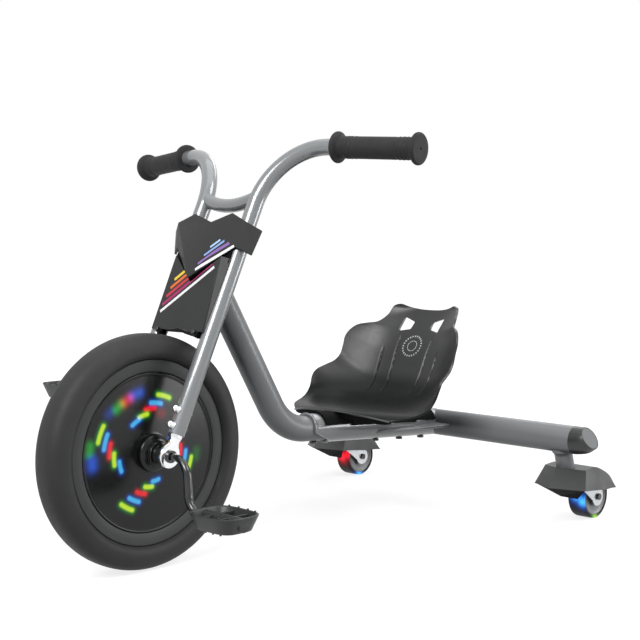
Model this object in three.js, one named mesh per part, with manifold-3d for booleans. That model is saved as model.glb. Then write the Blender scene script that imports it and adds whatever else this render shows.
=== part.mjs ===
// Child's drift trike: a pedalled front wheel in a combined fork and handlebar, a bent main tube, a
// bucket seat, and two raked casters under a cross tube. Millimetres, +Z up, -Y forwards, +X to the
// rider's left. The origin is on the floor, in the middle of the trike's length and width.
import * as THREE from "three";
import { mergeVertices } from "three/addons/utils/BufferGeometryUtils.js";
import Module from "manifold-3d";

const wasm = await Module();
wasm.setup();

// Gaps that every fit uses. Parts that touch are drawn this far apart.
const fit = { seat: 0.3, slide: 0.5, run: 0.8 };
// How far a cutting tool runs past the piece that it cuts.
const overrun = 40;

// The front wheel and the steering axis, which leans back and lies a little behind the fork legs.
const wheel = {
  radius: 152.4,
  width: 51,
  sidewall: 32.2,
  beadHalfWidth: 17.3,
  channelDepth: 14.2,
  channelHalfWidth: 12.4,
  coverGap: 2.9,
  coverEdge: 14.7,
  coverHub: 18.3,
  coverWall: 3,
  ledge: 5.1,
};
// The radii under the tyre's wall, one inside the other.
const beadRadius = wheel.radius - wheel.sidewall;
const channelRadius = beadRadius - wheel.channelDepth;
const coverRadius = channelRadius - wheel.coverGap;
const rimInnerRadius = coverRadius - wheel.ledge;
const steer = { rake: THREE.MathUtils.degToRad(24.7), offset: 8 };

// The stepped hub boss on each wheel cover, and the collar between it and the fork.
const boss = { radius: 24.6, ridgeRadius: 17, neckRadius: 13, end: 39, rise: 10, ridge: 3, core: 22 };
const collar = { radius: 10.5, end: 49 };

// The one-piece crank, a bent round rod.
const crank = { radius: 4.8, throw: 65, armInner: 88, armOuter: 93, bend: 24, bore: 5.4 };
const crankBendSteps = 4;

// The pedals turn on the ends of the crank.
const pedal = {
  inner: 119, length: 80, width: 66, height: 20, wall: 4, rib: 3.2, barrel: 8.6, draft: 8, endWall: 3,
};
const pedalCells = 3;
// A power of the circle's shares that makes the plan nearly square.
const pedalCornerShare = 0.5;

// The fork legs run on upwards as handlebars. The bend's corner is so far above the upper crown, and the
// crossbar's ends are so far below that corner.
const bar = {
  radius: 11.1,
  wall: 1.6,
  spread: 52.8,
  bottom: 28,
  above: 131.6,
  bend: 90,
  reach: 222.8,
  sweep: THREE.MathUtils.degToRad(10),
  rise: 3.3,
};
const crossbar = { radius: 9.5, drop: 75.2, sag: 13 };
const grip = { length: 127, radius: 14.8, flange: 21.1, flangeWidth: 5, endWall: 4, vent: 1.2 };
const dropout = { blade: 7, ring: 15.5, plug: 44, shoulder: 10.5, seatRadius: 8.6, waist: 7 };
// Where the blade meets its ring, as shares of the ring's radius across and up.
const dropoutJoinShares = [0.94, 0.35];
const bushing = { flange: 11, flangeWidth: 2.2 };
const legBolt = { radius: 2.5, head: 4.8, headHeight: 8, lower: 38, pitch: 21, nut: 4.4, nutHeight: 3.6 };

// The crowns, the steerer and the head tube lie on the steering axis. The lower crown clears the tyre.
const lowerCrown = { clearance: 15.6, height: 12, depth: 22, tab: 11 };
const headset = { cup: 10, radius: 18.5, skirt: 8, wall: 1.4 };
const headTube = { radius: 17.5, bore: 14.8, length: 96 };
const upperCrown = { height: 10, depth: 26 };
const steerer = { radius: 12.5, nutRadius: 15.5, nutHeight: 7.5 };

// The folded front shield: a wide cowl over a narrower panel, both ahead of the fork legs. The panel runs
// from below the lower crown to below the upper crown, and the cowl's heights are above the upper crown.
const panel = {
  below: 5.4, topDrop: 30.6, topNotch: 37, halfBottom: 51.8, halfTop: 46.8, flankBottom: 53, flankTop: 57,
  frontBottom: 15.2, frontTop: 20.8, back: 11.7, wall: 2.2, notchHalf: 21, notchRise: 12, notchDepth: 1.2,
};
const lug = { radius: 4.4, x: 38, below: 6.5 };
const panelScrew = { radius: 1.8, head: 3.4, headHeight: 2.4, depth: 8 };
const cowl = {
  tipHeight: -64.8, tipFront: 26,
  notchHeight: 20, notchFront: 19.6,
  peakX: 38.7, peakHeight: 32.4, peakFront: 20.4,
  shoulderX: 69.5, shoulderHeight: 20.1, shoulderFront: 19.6,
  wingX: 89.5, wingHeight: 13.4, wingFront: 4,
  wingFootX: 80, wingFootHeight: -19.6, wingFootFront: 0.2,
  armpitX: 59.5, armpitHeight: -14.6, armpitFront: 15,
  wall: 2.4, standoffX: 25, standoffRadius: 4,
};

// The bent main tube, its sleeve and the cross tube at the back. What lies along the frame is measured
// forwards from the cross tube, and the main tube's join is measured up from the head tube's foot.
const mainTube = {
  radius: 19.05, wall: 1.8, join: 59.6, slope: THREE.MathUtils.degToRad(58.6), bend: 84, rearEnd: 45,
};
const rearLine = { drop: THREE.MathUtils.degToRad(3.7) };
const crossTube = { radius: 20.8, wall: 2, y: 590, z: 131.2, end: 271 };
const sleeve = { radius: 21.6, front: 297, bead: 1.6, beadWidth: 4, scoop: 38, scoopDrop: 9 };
const gusset = { wall: 4, ahead: 182, front: 4, back: 30, drop: 1 };
const endCap = { tilt: THREE.MathUtils.degToRad(31), neck: 16.1, face: 11, plug: 14, disc: 1.4, rim: 0.9 };

// The casters: a raked post, a fork whose wheel trails the cross tube, a faceted fender and a wheel.
const caster = {
  x: 246,
  rake: THREE.MathUtils.degToRad(18),
  postRadius: 13.5,
  postLength: 49,
  postBore: 10.2,
  stemRadius: 9.4,
  wheelRadius: 34,
  wheelWidth: 29,
  trail: 78,
  plate: 2.6,
  plateHalf: 14.5,
  bridgeHalf: 10.5,
  bridgeDrop: 6,
  axleRadius: 3,
  axleHead: 5.2,
  axleHeadHeight: 3,
  axleNutHeight: 4,
  tread: 5,
  hub: 11,
  core: 24,
};
// Stations along one side of the fender: [half width, y, z] of its upper edge and of its lower edge, with
// y and z measured from the cross tube.
const fender = {
  wall: 2.4,
  ridgeTop: [0, -11.5, -42.4],
  ridgeFoot: [0, -31, -71.2],
  chin: [15, 25, -94.2],
  upper: [[36, 14, -46.2], [33, 43, -44.6], [29, 78, -56.2], [25.5, 102, -69.2]],
  lower: [[45, -1, -73.9], [40, 47, -79.4], [33, 76, -83.8], [28, 100, -85.7]],
  tail: [23.5, 120, -88.2],
};

// The moulded bucket seat, so far ahead of the cross tube and above it. The two tables are shares of its
// half width, depth and rise.
const seat = { ahead: 242, depth: 236, above: 37.8, rise: 156, halfWidth: 131, wall: 4, rim: 0.6 };
const seatColumns = 12;
// Powers of the share across: how sharply the seat turns up at its sides, and how narrow its rim is.
const seatFoldPower = 2.6;
const seatRimPower = 12;
const seatCentreShares = [
  [0, 0.051], [0.114, 0.042], [0.263, 0.035], [0.39, 0.035], [0.483, 0.045], [0.551, 0.064],
  [0.602, 0.096], [0.644, 0.135], [0.678, 0.183], [0.708, 0.253], [0.742, 0.353], [0.784, 0.494],
  [0.831, 0.615], [0.881, 0.718], [0.928, 0.801], [0.962, 0.862], [0.983, 0.901], [0.998, 0.929],
];
const seatEdgeShares = [
  [0.75, 0.09, -0.006], [0.917, 0.178, 0], [0.97, 0.297, 0.051], [0.985, 0.356, 0.135], [1, 0.39, 0.25],
  [0.985, 0.428, 0.314], [0.947, 0.5, 0.359], [0.91, 0.559, 0.397], [0.887, 0.602, 0.462],
  [0.88, 0.627, 0.558], [0.88, 0.648, 0.647], [0.842, 0.678, 0.718], [0.774, 0.716, 0.769],
  [0.677, 0.763, 0.788], [0.594, 0.818, 0.804], [0.534, 0.881, 0.872], [0.504, 0.919, 0.955],
  [0.444, 0.936, 1],
];
// The corners of the left window in the seat back, as shares of the half width and the rise.
const windowShares = [[0.311, 0.851], [0.138, 0.803], [0.147, 0.732], [0.306, 0.709]];
const bracket = { ahead: 218, backAhead: 70, wall: 3, skirt: 4, padHalf: 24, padAhead: 135 };
const seatBolt = { radius: 3, head: 5.6, headHeight: 3, ahead: [279, 141.4, 85, 32] };

// Facets round each kind of piece.
const facets = { wheel: 32, tube: 16, bar: 12, rod: 8, fine: 10, boss: 16, plan: 12, hex: 6 };
// Steps along a tube's bend and along the crossbar's curve.
const bendSteps = 7;
const sagSteps = 10;

// Materials
const finish = (color, roughness, metalness) =>
  new THREE.MeshStandardMaterial({ color, roughness, metalness });
const framePaint = finish(0x63686c, 0.32, 0.55);
const barPaint = finish(0xa2a6a8, 0.28, 0.75);
const chrome = finish(0xe2e4e6, 0.1, 1);
const steel = finish(0xb9bcbe, 0.35, 0.9);
const blackSteel = finish(0x17181a, 0.35, 0.6);
const rubber = finish(0x303133, 0.75, 0);
const tyreRubber = finish(0x2d2e2f, 0.7, 0);
const rimPlastic = finish(0x46484a, 0.6, 0);
const glossPlastic = finish(0x222325, 0.22, 0);
const satinPlastic = finish(0x37383a, 0.5, 0);
const seatPlastic = finish(0x323335, 0.42, 0);
const capFacePlastic = finish(0x7d7f80, 0.55, 0);
const lightPlastic = finish(0x9fb4c8, 0.15, 0);

// Geometry tools

// Merge the shared points, drop triangles without area and turn the faces outwards.
function tidy(geometry) {
  geometry.deleteAttribute("normal");
  geometry.deleteAttribute("uv");
  const merged = mergeVertices(geometry);
  const source = merged.getIndex().array;
  const kept = [];
  for (let i = 0; i < source.length; i += 3) {
    const [a, b, c] = [source[i], source[i + 1], source[i + 2]];
    if (a !== b && b !== c && c !== a) kept.push(a, b, c);
  }
  merged.setIndex(kept);
  if (volumeOf(merged) < 0) {
    for (let i = 0; i < kept.length; i += 3) [kept[i], kept[i + 1]] = [kept[i + 1], kept[i]];
    merged.setIndex(kept);
  }
  return merged;
}

function volumeOf(geometry) {
  const place = geometry.getAttribute("position");
  const index = geometry.getIndex().array;
  const [a, b, c] = [new THREE.Vector3(), new THREE.Vector3(), new THREE.Vector3()];
  let total = 0;
  for (let i = 0; i < index.length; i += 3) {
    a.fromBufferAttribute(place, index[i]);
    b.fromBufferAttribute(place, index[i + 1]);
    c.fromBufferAttribute(place, index[i + 2]);
    total += a.dot(b.cross(c)) / 6;
  }
  return total;
}

function solidOf(geometry) {
  const clean = tidy(geometry.clone());
  const vertProperties = new Float32Array(clean.getAttribute("position").array);
  const triVerts = new Uint32Array(clean.getIndex().array);
  return new wasm.Manifold(new wasm.Mesh({ numProp: 3, vertProperties, triVerts }));
}

function geometryOf(solid) {
  const mesh = solid.getMesh();
  const geometry = new THREE.BufferGeometry();
  geometry.setAttribute("position", new THREE.BufferAttribute(new Float32Array(mesh.vertProperties), 3));
  geometry.setIndex(Array.from(mesh.triVerts));
  return geometry;
}

const combine = (operation) => (first, ...others) =>
  geometryOf(others.reduce((solid, other) => solid[operation](solidOf(other)), solidOf(first)));
const join = combine("add");
const cut = combine("subtract");
const common = combine("intersect");

// A closed [radius, height] profile turned about the X axis or the Z axis.
function turnX(profile, sides) {
  const points = profile.map(([radius, x]) => new THREE.Vector2(radius, x));
  return new THREE.LatheGeometry([...points, points[0].clone()], sides).rotateZ(-Math.PI / 2);
}

function turnZ(profile, sides) {
  const points = profile.map(([radius, z]) => new THREE.Vector2(radius, z));
  return new THREE.LatheGeometry([...points, points[0].clone()], sides).rotateX(Math.PI / 2);
}

// Round rods from one place to another along an axis.
const rodY = (radius, from, to, sides) =>
  new THREE.CylinderGeometry(radius, radius, to - from, sides).translate(0, (from + to) / 2, 0);
const rodX = (radius, from, to, sides) => rodY(radius, -to, -from, sides).rotateZ(Math.PI / 2);
const rodZ = (radius, from, to, sides) => rodY(radius, from, to, sides).rotateX(Math.PI / 2);

function box(x, y, z) {
  const [width, depth, height] = [x[1] - x[0], y[1] - y[0], z[1] - z[0]];
  return new THREE.BoxGeometry(width, depth, height)
    .translate((x[0] + x[1]) / 2, (y[0] + y[1]) / 2, (z[0] + z[1]) / 2);
}

// A flat outline in X and Y, raised from one height to another.
function slab(outline, from, to) {
  const corners = (points) => new THREE.Shape(points.map(([x, y]) => new THREE.Vector2(x, y)));
  const shape = outline instanceof THREE.Shape ? outline : corners(outline);
  const options = { depth: to - from, bevelEnabled: false, curveSegments: facets.fine / 2 };
  return new THREE.ExtrudeGeometry(shape, options).translate(0, 0, from);
}

// Turn a slab so that its outline is in Y and Z, and its thickness runs along X.
const onSide = (geometry) => geometry.rotateX(Math.PI / 2).rotateZ(Math.PI / 2);

// A path of straight runs joined by round bends, with a station at each end of a run and along a bend.
class BentPath extends THREE.Curve {
  constructor(corners, bend, steps) {
    super();
    const points = corners.map((corner) => new THREE.Vector3(...corner));
    const headings = points.slice(1).map((point, i) => point.clone().sub(points[i]).normalize());
    this.stations = [{ point: points[0], heading: headings[0] }];
    for (let i = 1; i < points.length - 1; i += 1) {
      this.addBend(points[i], headings[i - 1], headings[i], bend, steps);
    }
    this.stations.push({ point: points.at(-1), heading: headings.at(-1) });
  }

  addBend(corner, before, after, bend, steps) {
    const turn = before.angleTo(after);
    const start = corner.clone().addScaledVector(before, -bend * Math.tan(turn / 2));
    const inward = after.clone().addScaledVector(before, -Math.cos(turn)).divideScalar(Math.sin(turn));
    for (let i = 0; i <= steps; i += 1) {
      const angle = (turn * i) / steps;
      const point = start.clone()
        .addScaledVector(inward, bend * (1 - Math.cos(angle)))
        .addScaledVector(before, bend * Math.sin(angle));
      const heading = before.clone().multiplyScalar(Math.cos(angle)).addScaledVector(inward, Math.sin(angle));
      this.stations.push({ point, heading });
    }
  }

  get steps() {
    return this.stations.length - 1;
  }

  getPointAt(share) {
    return this.stations[Math.round(share * this.steps)].point.clone();
  }

  getTangentAt(share) {
    return this.stations[Math.round(share * this.steps)].heading.clone();
  }
}

// A round tube or rod along a path. A bore of zero makes it solid.
function tube(path, radius, bore, sides) {
  const shape = new THREE.Shape().absarc(0, 0, radius, 0, 2 * Math.PI);
  if (bore > 0) shape.holes.push(new THREE.Path().absarc(0, 0, bore, 0, 2 * Math.PI, true));
  return new THREE.ExtrudeGeometry(shape, { steps: path.steps, extrudePath: path, curveSegments: sides / 2 });
}

// A sheet folded from flat faces, with an inner point behind each outer one.
function foldedSheet(outer, inner, faces) {
  const points = [...outer, ...inner].flat();
  const triangles = faces.flatMap((face) => face.slice(2).map((_, i) => [face[0], face[i + 1], face[i + 2]]));
  const edges = new Map();
  for (const [a, b, c] of triangles) {
    for (const [from, to] of [[a, b], [b, c], [c, a]]) {
      if (!edges.delete(`${to},${from}`)) edges.set(`${from},${to}`, [from, to]);
    }
  }
  const back = outer.length;
  const index = triangles.flatMap(([a, b, c]) => [a, b, c, a + back, c + back, b + back]);
  for (const [from, to] of edges.values()) index.push(from, from + back, to, to, from + back, to + back);
  const geometry = new THREE.BufferGeometry();
  geometry.setAttribute("position", new THREE.BufferAttribute(new Float32Array(points), 3));
  geometry.setIndex(index);
  return tidy(geometry);
}

// A solid between two outlines with the same number of points.
function loft(bottom, top) {
  const count = bottom.length;
  const index = [];
  for (let i = 0; i < count; i += 1) {
    const next = (i + 1) % count;
    index.push(i, next, count + next, i, count + next, count + i);
    if (i > 0 && next > 0) index.push(0, next, i, count, count + i, count + next);
  }
  const geometry = new THREE.BufferGeometry();
  const points = new Float32Array([...bottom, ...top].flat());
  geometry.setAttribute("position", new THREE.BufferAttribute(points, 3));
  geometry.setIndex(index);
  return geometry;
}

const mirrorX = (points) => points.map(([x, y, z]) => [-x, y, z]);
const flipX = (geometry) => tidy(geometry.clone().scale(-1, 1, 1));

// The front wheel, about its own centre

// The tyre's shoulder is a squarish quarter round: a power of the circle's shares, at a few angles.
const shoulderShare = 0.72;
const shoulderAngles = [0, 0.5, 1];

// A tyre with rounded shoulders, seated in the rim's channel.
function tyreShape() {
  const half = wheel.width / 2;
  const bulge = (wheel.radius + beadRadius) / 2 - wheel.beadHalfWidth / 2;
  const outline = [[beadRadius, wheel.beadHalfWidth]];
  for (const angle of shoulderAngles) {
    const side = Math.cos(angle) ** shoulderShare;
    const rise = Math.sin(angle) ** shoulderShare;
    outline.push([bulge + (wheel.radius - bulge) * rise, half * side]);
  }
  outline.push([wheel.radius, 0]);
  const mirror = (points) => points.map(([radius, x]) => [radius, -x]);
  const channel = wheel.channelHalfWidth - fit.seat;
  const floor = channelRadius + fit.seat;
  const bead = [[beadRadius, channel], [floor, channel]];
  const far = mirror(outline.slice(0, -1)).reverse();
  return turnX([...outline, ...far, ...mirror(bead), ...bead.reverse()], facets.wheel);
}

// A moulded rim with a channel for the tyre and a ledge for each cover.
function rimShape() {
  const flange = beadRadius - fit.seat;
  const ledge = wheel.coverEdge - wheel.coverWall - fit.seat;
  const step = coverRadius + fit.seat;
  const side = [
    [rimInnerRadius, ledge],
    [step, ledge],
    [step, wheel.coverEdge],
    [flange, wheel.beadHalfWidth - fit.seat],
    [flange, wheel.channelHalfWidth],
    [channelRadius, wheel.channelHalfWidth],
  ];
  return turnX([...side, ...side.map(([radius, x]) => [radius, -x]).reverse()], facets.wheel);
}

// One dished cover with its ridged boss and half of the hub core, on the +X side.
function coverShape() {
  const profile = [
    [crank.bore, fit.seat / 2],
    [crank.bore, boss.end],
    [boss.neckRadius, boss.end],
    [boss.ridgeRadius, boss.end - boss.ridge],
    [boss.ridgeRadius, boss.end - boss.rise],
    [boss.radius, boss.end - boss.rise - boss.ridge],
    [boss.radius, wheel.coverHub],
    [coverRadius, wheel.coverEdge],
    [coverRadius, wheel.coverEdge - wheel.coverWall],
    [boss.core, wheel.coverHub - wheel.coverWall],
    [boss.core - boss.ridge, fit.seat / 2],
  ];
  return turnX(profile, facets.wheel);
}

function collarShape() {
  const ring = [
    [crank.bore, boss.end + fit.seat],
    [crank.bore, collar.end],
    [collar.radius, collar.end],
    [collar.radius, boss.end + fit.seat],
  ];
  return turnX(ring, facets.boss);
}

// The crank is one bent rod, with its left arm down and its right arm up.
function crankShape() {
  const tip = pedal.inner + pedal.length - pedal.endWall - pedal.wall - fit.run;
  const left = [
    [crank.armInner, 0, 0],
    [crank.armOuter, 0, -crank.throw],
    [tip, 0, -crank.throw],
  ];
  const right = left.map(([x, y, z]) => [-x, y, -z]).reverse();
  return tube(new BentPath([...right, ...left], crank.bend, crankBendSteps), crank.radius, 0, facets.fine);
}

// Pedals

// A square plan with round corners and slightly bowed sides, at one height.
function pedalPlan(inset, z) {
  const [halfLength, halfWidth] = [pedal.length / 2 - inset, pedal.width / 2 - inset];
  return Array.from({ length: facets.plan }, (_, i) => {
    const angle = (2 * Math.PI * (i + 1 / 2)) / facets.plan;
    const [c, s] = [Math.cos(angle), Math.sin(angle)];
    const x = halfLength * Math.sign(c) * Math.abs(c) ** pedalCornerShare;
    const y = halfWidth * Math.sign(s) * Math.abs(s) ** pedalCornerShare;
    return [x, y, z];
  });
}

// A solid that narrows downwards, inset from the pedal's own outside. It can run past both of its ends.
function pedalBlock(inset, beyond) {
  const half = pedal.height / 2;
  const grade = pedal.draft / pedal.height;
  return loft(
    pedalPlan(inset + pedal.draft + grade * beyond, -half - beyond),
    pedalPlan(inset - grade * beyond, half + beyond),
  );
}

// An open cage with cross ribs and a barrel for the crank's end. Its inner end is at x = 0.
function pedalShape() {
  const [half, depth, height] = [pedal.length / 2, pedal.width / 2, pedal.height / 2];
  const cell = pedal.length / pedalCells;
  const ribs = Array.from({ length: pedalCells - 1 }, (_, i) => {
    const x = -half + cell * (i + 1);
    const reach = height - pedal.rib;
    return box([x - pedal.rib / 2, x + pedal.rib / 2], [-depth, depth], [-reach, reach]);
  });
  const barrel = rodX(pedal.barrel, -half, half, facets.fine);
  const inside = common(join(barrel, ...ribs), pedalBlock(pedal.wall / 2, 0));
  const cage = join(cut(pedalBlock(0, 0), pedalBlock(pedal.wall, pedal.height)), inside);
  const blind = half - pedal.endWall - pedal.wall;
  const bore = rodX(crank.radius + fit.slide, -half - overrun, blind, facets.fine);
  return cut(cage, bore).translate(half, 0, 0);
}

// The fork and handlebar, about the steering axis, with the axle at the origin

const barEnd = () => {
  const reach = bar.reach;
  return [bar.spread + reach * Math.cos(bar.sweep), reach * Math.sin(bar.sweep), barHeight + bar.rise];
};
const legPath = () => {
  const corners = [[bar.spread, 0, bar.bottom], [bar.spread, 0, barHeight], barEnd()];
  return new BentPath(corners, bar.bend, bendSteps);
};

// A leg with clearance, for coping the pieces that are welded to it.
const legTool = () => tube(legPath(), bar.radius + fit.seat, 0, facets.bar);

const boltHeights = [legBolt.lower, legBolt.lower + legBolt.pitch];

function legShape() {
  const leg = tube(legPath(), bar.radius, bar.radius - bar.wall, facets.bar);
  const holes = boltHeights.map((height) =>
    rodY(legBolt.radius + fit.seat, -overrun, overrun, facets.rod).translate(bar.spread, 0, height));
  return cut(leg, ...holes);
}

// The fork end: a plug bolted inside the leg, a tapered blade and a ring round the axle.
function dropoutShape() {
  const top = bar.bottom - fit.seat;
  const plugRadius = (bar.radius - bar.wall) * Math.cos(Math.PI / facets.bar) - fit.seat;
  const plug = rodZ(plugRadius, top - fit.seat, bar.bottom + dropout.plug, facets.fine);
  const [across, up] = dropoutJoinShares.map((share) => share * dropout.ring);
  const edge = [[dropout.shoulder, top], [dropout.waist, top - dropout.blade], [across, up]];
  const outline = [...edge, ...edge.map(([y, z]) => [-y, z]).reverse()];
  const blade = onSide(slab(outline, -dropout.blade / 2, dropout.blade / 2));
  const ring = rodX(dropout.ring, -dropout.blade / 2, dropout.blade / 2, facets.boss);
  const bore = rodX(dropout.seatRadius, -overrun, overrun, facets.boss);
  const holes = boltHeights.map((height) =>
    rodY(legBolt.radius + fit.seat, -overrun, overrun, facets.rod).translate(0, 0, height));
  return cut(join(plug, blade, ring), bore, ...holes).translate(bar.spread, 0, 0);
}

// A flanged bushing that carries the crank in the fork end, on the +X side.
function bushingShape() {
  const face = bar.spread + dropout.blade / 2 + fit.seat;
  const sleeveRadius = dropout.seatRadius - fit.seat;
  const ring = [
    [crank.radius + fit.slide, bar.spread - dropout.blade / 2],
    [crank.radius + fit.slide, face + bushing.flangeWidth],
    [bushing.flange, face + bushing.flangeWidth],
    [bushing.flange, face],
    [sleeveRadius, face],
    [sleeveRadius, bar.spread - dropout.blade / 2],
  ];
  return turnX(ring, facets.boss);
}

// A bolt through a leg, with a domed head in front and its nut behind.
function legBoltShape() {
  const face = bar.radius + fit.seat;
  const nutEnd = face + legBolt.nutHeight;
  const shank = rodY(legBolt.radius, -face - legBolt.headHeight / 2, nutEnd - fit.seat, facets.rod);
  const head = domeY(legBolt.head, legBolt.headHeight).translate(0, -face, 0);
  return join(head, shank, rodY(legBolt.nut, face, nutEnd, facets.hex));
}

// A dome whose flat side faces +Y.
function domeY(radius, height) {
  const steps = 3;
  const arc = Array.from({ length: steps }, (_, i) => {
    const angle = (Math.PI * i) / (2 * steps);
    return [radius * Math.cos(angle), height * Math.sin(angle)];
  });
  return turnZ([[0, 0], ...arc, [0, height]], facets.fine).rotateX(Math.PI / 2);
}

function crossbarShape() {
  const span = bar.spread + bar.radius / 2;
  const control = 2 * crossbar.sag;
  const curve = new THREE.QuadraticBezierCurve3(
    new THREE.Vector3(-span, 0, crossbarHeight),
    new THREE.Vector3(0, 0, crossbarHeight - control),
    new THREE.Vector3(span, 0, crossbarHeight),
  );
  curve.steps = sagSteps;
  const rod = tube(curve, crossbar.radius, 0, facets.fine);
  return cut(rod, legTool(), flipX(legTool()));
}

function gripShape() {
  const bore = bar.radius + fit.seat;
  const flange = grip.flangeWidth;
  const chamfer = flange / 2;
  const inside = grip.length - grip.endWall;
  const profile = [
    [bore, 0],
    [grip.flange - chamfer, 0],
    [grip.flange, chamfer],
    [grip.flange, flange],
    [grip.radius, 2 * flange],
    [grip.radius, grip.length - 2 * flange],
    [grip.flange, grip.length - flange],
    [grip.flange - chamfer, grip.length],
    [grip.vent, grip.length],
    [grip.vent, inside],
    [bore, inside],
  ];
  return turnZ(profile, facets.tube);
}

// Crowns

const crownBottom = wheel.radius + lowerCrown.clearance;
const crownTop = crownBottom + lowerCrown.height;
const headBottom = crownTop + fit.run + headset.cup;
const headTop = headBottom + headTube.length;
const upperCrownBottom = headTop + headset.cup + fit.run;
const upperCrownTop = upperCrownBottom + upperCrown.height;
const barHeight = upperCrownTop + bar.above;
const crossbarHeight = barHeight - crossbar.drop;
const lugHeight = crownBottom - lug.below;

const onSteeringAxis = (geometry) => geometry.translate(0, steer.offset, 0);

// A plate between the legs with a boss round the steerer.
function crownShape(from, to, depth) {
  const plate = box([-bar.spread, bar.spread], [-depth / 2, depth / 2], [from, to]);
  const middle = onSteeringAxis(rodZ(headset.radius, from, to, facets.boss));
  const bore = onSteeringAxis(rodZ(steerer.radius + fit.seat, from - overrun, to + overrun, facets.boss));
  return cut(join(plate, middle), legTool(), flipX(legTool()), bore);
}

function lowerCrownShape() {
  const plate = crownShape(crownBottom, crownTop, lowerCrown.depth);
  const tabs = [-1, 1].map((side) => box(
    [side * lug.x - lug.radius, side * lug.x + lug.radius],
    [-lowerCrown.depth / 2, panelScrew.depth - lowerCrown.depth / 2],
    [crownBottom - lowerCrown.tab, crownTop],
  ));
  const threads = [-1, 1].map((side) =>
    rodY(panelScrew.radius + fit.seat, -overrun, overrun, facets.rod).translate(side * lug.x, 0, lugHeight));
  return cut(join(plate, ...tabs), legTool(), flipX(legTool()), ...threads);
}

const upperCrownShape = () => crownShape(upperCrownBottom, upperCrownTop, upperCrown.depth);
const steererTop = upperCrownTop + steerer.nutHeight;
const steererShape = () => onSteeringAxis(rodZ(steerer.radius, crownBottom, steererTop, facets.boss));

function steererNutShape() {
  const from = upperCrownTop + fit.seat;
  const bore = rodZ(steerer.radius + fit.seat, 0, 2 * steererTop, facets.boss);
  return onSteeringAxis(cut(rodZ(steerer.nutRadius, from, steererTop, facets.hex), bore));
}

// The shield panel: a shallow folded tray with a notch over the tyre.
function panelShape() {
  const { frontBottom, frontTop } = panel;
  const [bottom, top] = [crownBottom - panel.below, upperCrownBottom - panel.topDrop];
  const front = (z) => -THREE.MathUtils.mapLinear(z, bottom, top, frontBottom, frontTop);
  const side = [
    [panel.halfBottom, -panel.frontBottom, bottom],
    [panel.halfTop, -panel.frontTop, top],
    [panel.flankTop, -panel.back, top],
    [panel.flankBottom, -panel.back, bottom],
    [panel.notchHalf, -panel.frontBottom, bottom],
  ];
  const apex = bottom + panel.notchRise;
  const middle = [
    [0, front(top - panel.topNotch), top - panel.topNotch],
    [0, front(apex), apex],
    [0, panel.notchDepth - panel.frontBottom, bottom + panel.notchRise / 3],
  ];
  const outer = [...side, ...mirrorX(side), ...middle];
  const inner = outer.map(([x, y, z]) => [x * (1 - panel.wall / panel.flankTop), y + panel.wall, z]);
  for (const i of [2, 3, 7, 8]) inner[i][1] = outer[i][1];
  const faces = [
    [0, 1, 10, 11, 4], [1, 0, 3, 2], [4, 11, 12],
    [5, 9, 11, 10, 6], [6, 7, 8, 5], [9, 12, 11],
  ];
  const sheet = foldedSheet(outer, inner, faces);
  const lugs = [-1, 1].map((side) =>
    rodY(lug.radius, -panel.frontBottom + panel.wall / 2, -lowerCrown.depth / 2 - fit.seat, facets.fine)
      .translate(side * lug.x, 0, lugHeight));
  const holes = [-1, 1].map((side) =>
    rodY(panelScrew.radius + fit.seat, -overrun, overrun, facets.rod).translate(side * lug.x, 0, lugHeight));
  return cut(join(sheet, ...lugs), ...holes);
}

function panelScrewShape() {
  const face = -panel.frontBottom - fit.seat;
  const end = panelScrew.depth - lowerCrown.depth / 2;
  const head = rodY(panelScrew.head, face - panelScrew.headHeight, face, facets.fine);
  const shank = rodY(panelScrew.radius, face - panelScrew.headHeight / 2, end, facets.rod);
  return join(head, shank).translate(0, 0, lugHeight);
}

// The cowl: a flat front between two swept wings, folded from one sheet.
function cowlShape() {
  const side = [
    [cowl.peakX, -cowl.peakFront, cowl.peakHeight],
    [cowl.shoulderX, -cowl.shoulderFront, cowl.shoulderHeight],
    [cowl.wingX, -cowl.wingFront, cowl.wingHeight],
    [cowl.wingFootX, -cowl.wingFootFront, cowl.wingFootHeight],
    [cowl.armpitX, -cowl.armpitFront, cowl.armpitHeight],
  ];
  const middle = [[0, -cowl.notchFront, cowl.notchHeight], [0, -cowl.tipFront, cowl.tipHeight]];
  const outer = [...middle, ...side, ...mirrorX(side)];
  const inner = outer.map(([x, y, z]) => [x * (1 - cowl.wall / cowl.wingX), y + cowl.wall, z]);
  const faces = [
    [0, 1, 3, 2], [1, 6, 3], [3, 6, 5, 4],
    [0, 7, 8, 1], [1, 8, 11], [8, 9, 10, 11],
  ];
  const height = upperCrown.height / 2;
  const standoffs = [-1, 1].map((hand) =>
    rodY(cowl.standoffRadius, -cowl.notchFront - cowl.wall / 3, -upperCrown.depth / 2 - fit.seat, facets.fine)
      .translate(hand * cowl.standoffX, 0, height));
  return join(foldedSheet(outer, inner, faces), ...standoffs).translate(0, 0, upperCrownBottom);
}

// The frame, seen from the side: points are [y, z], with y measured back from the front axle

// A point on the steering axis at a height above the axle, along the axis.
const onAxis = (height) => [
  height * Math.sin(steer.rake) + steer.offset * Math.cos(steer.rake),
  wheel.radius + height * Math.cos(steer.rake) - steer.offset * Math.sin(steer.rake),
];
const rearLineHeight = (y) => crossTube.z + (crossTube.y - y) * Math.tan(rearLine.drop);
const sleeveFront = crossTube.y - sleeve.front;
const gussetFront = crossTube.y - gusset.ahead;
const atCrossTube = (geometry) => geometry.translate(0, crossTube.y, crossTube.z);

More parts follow.
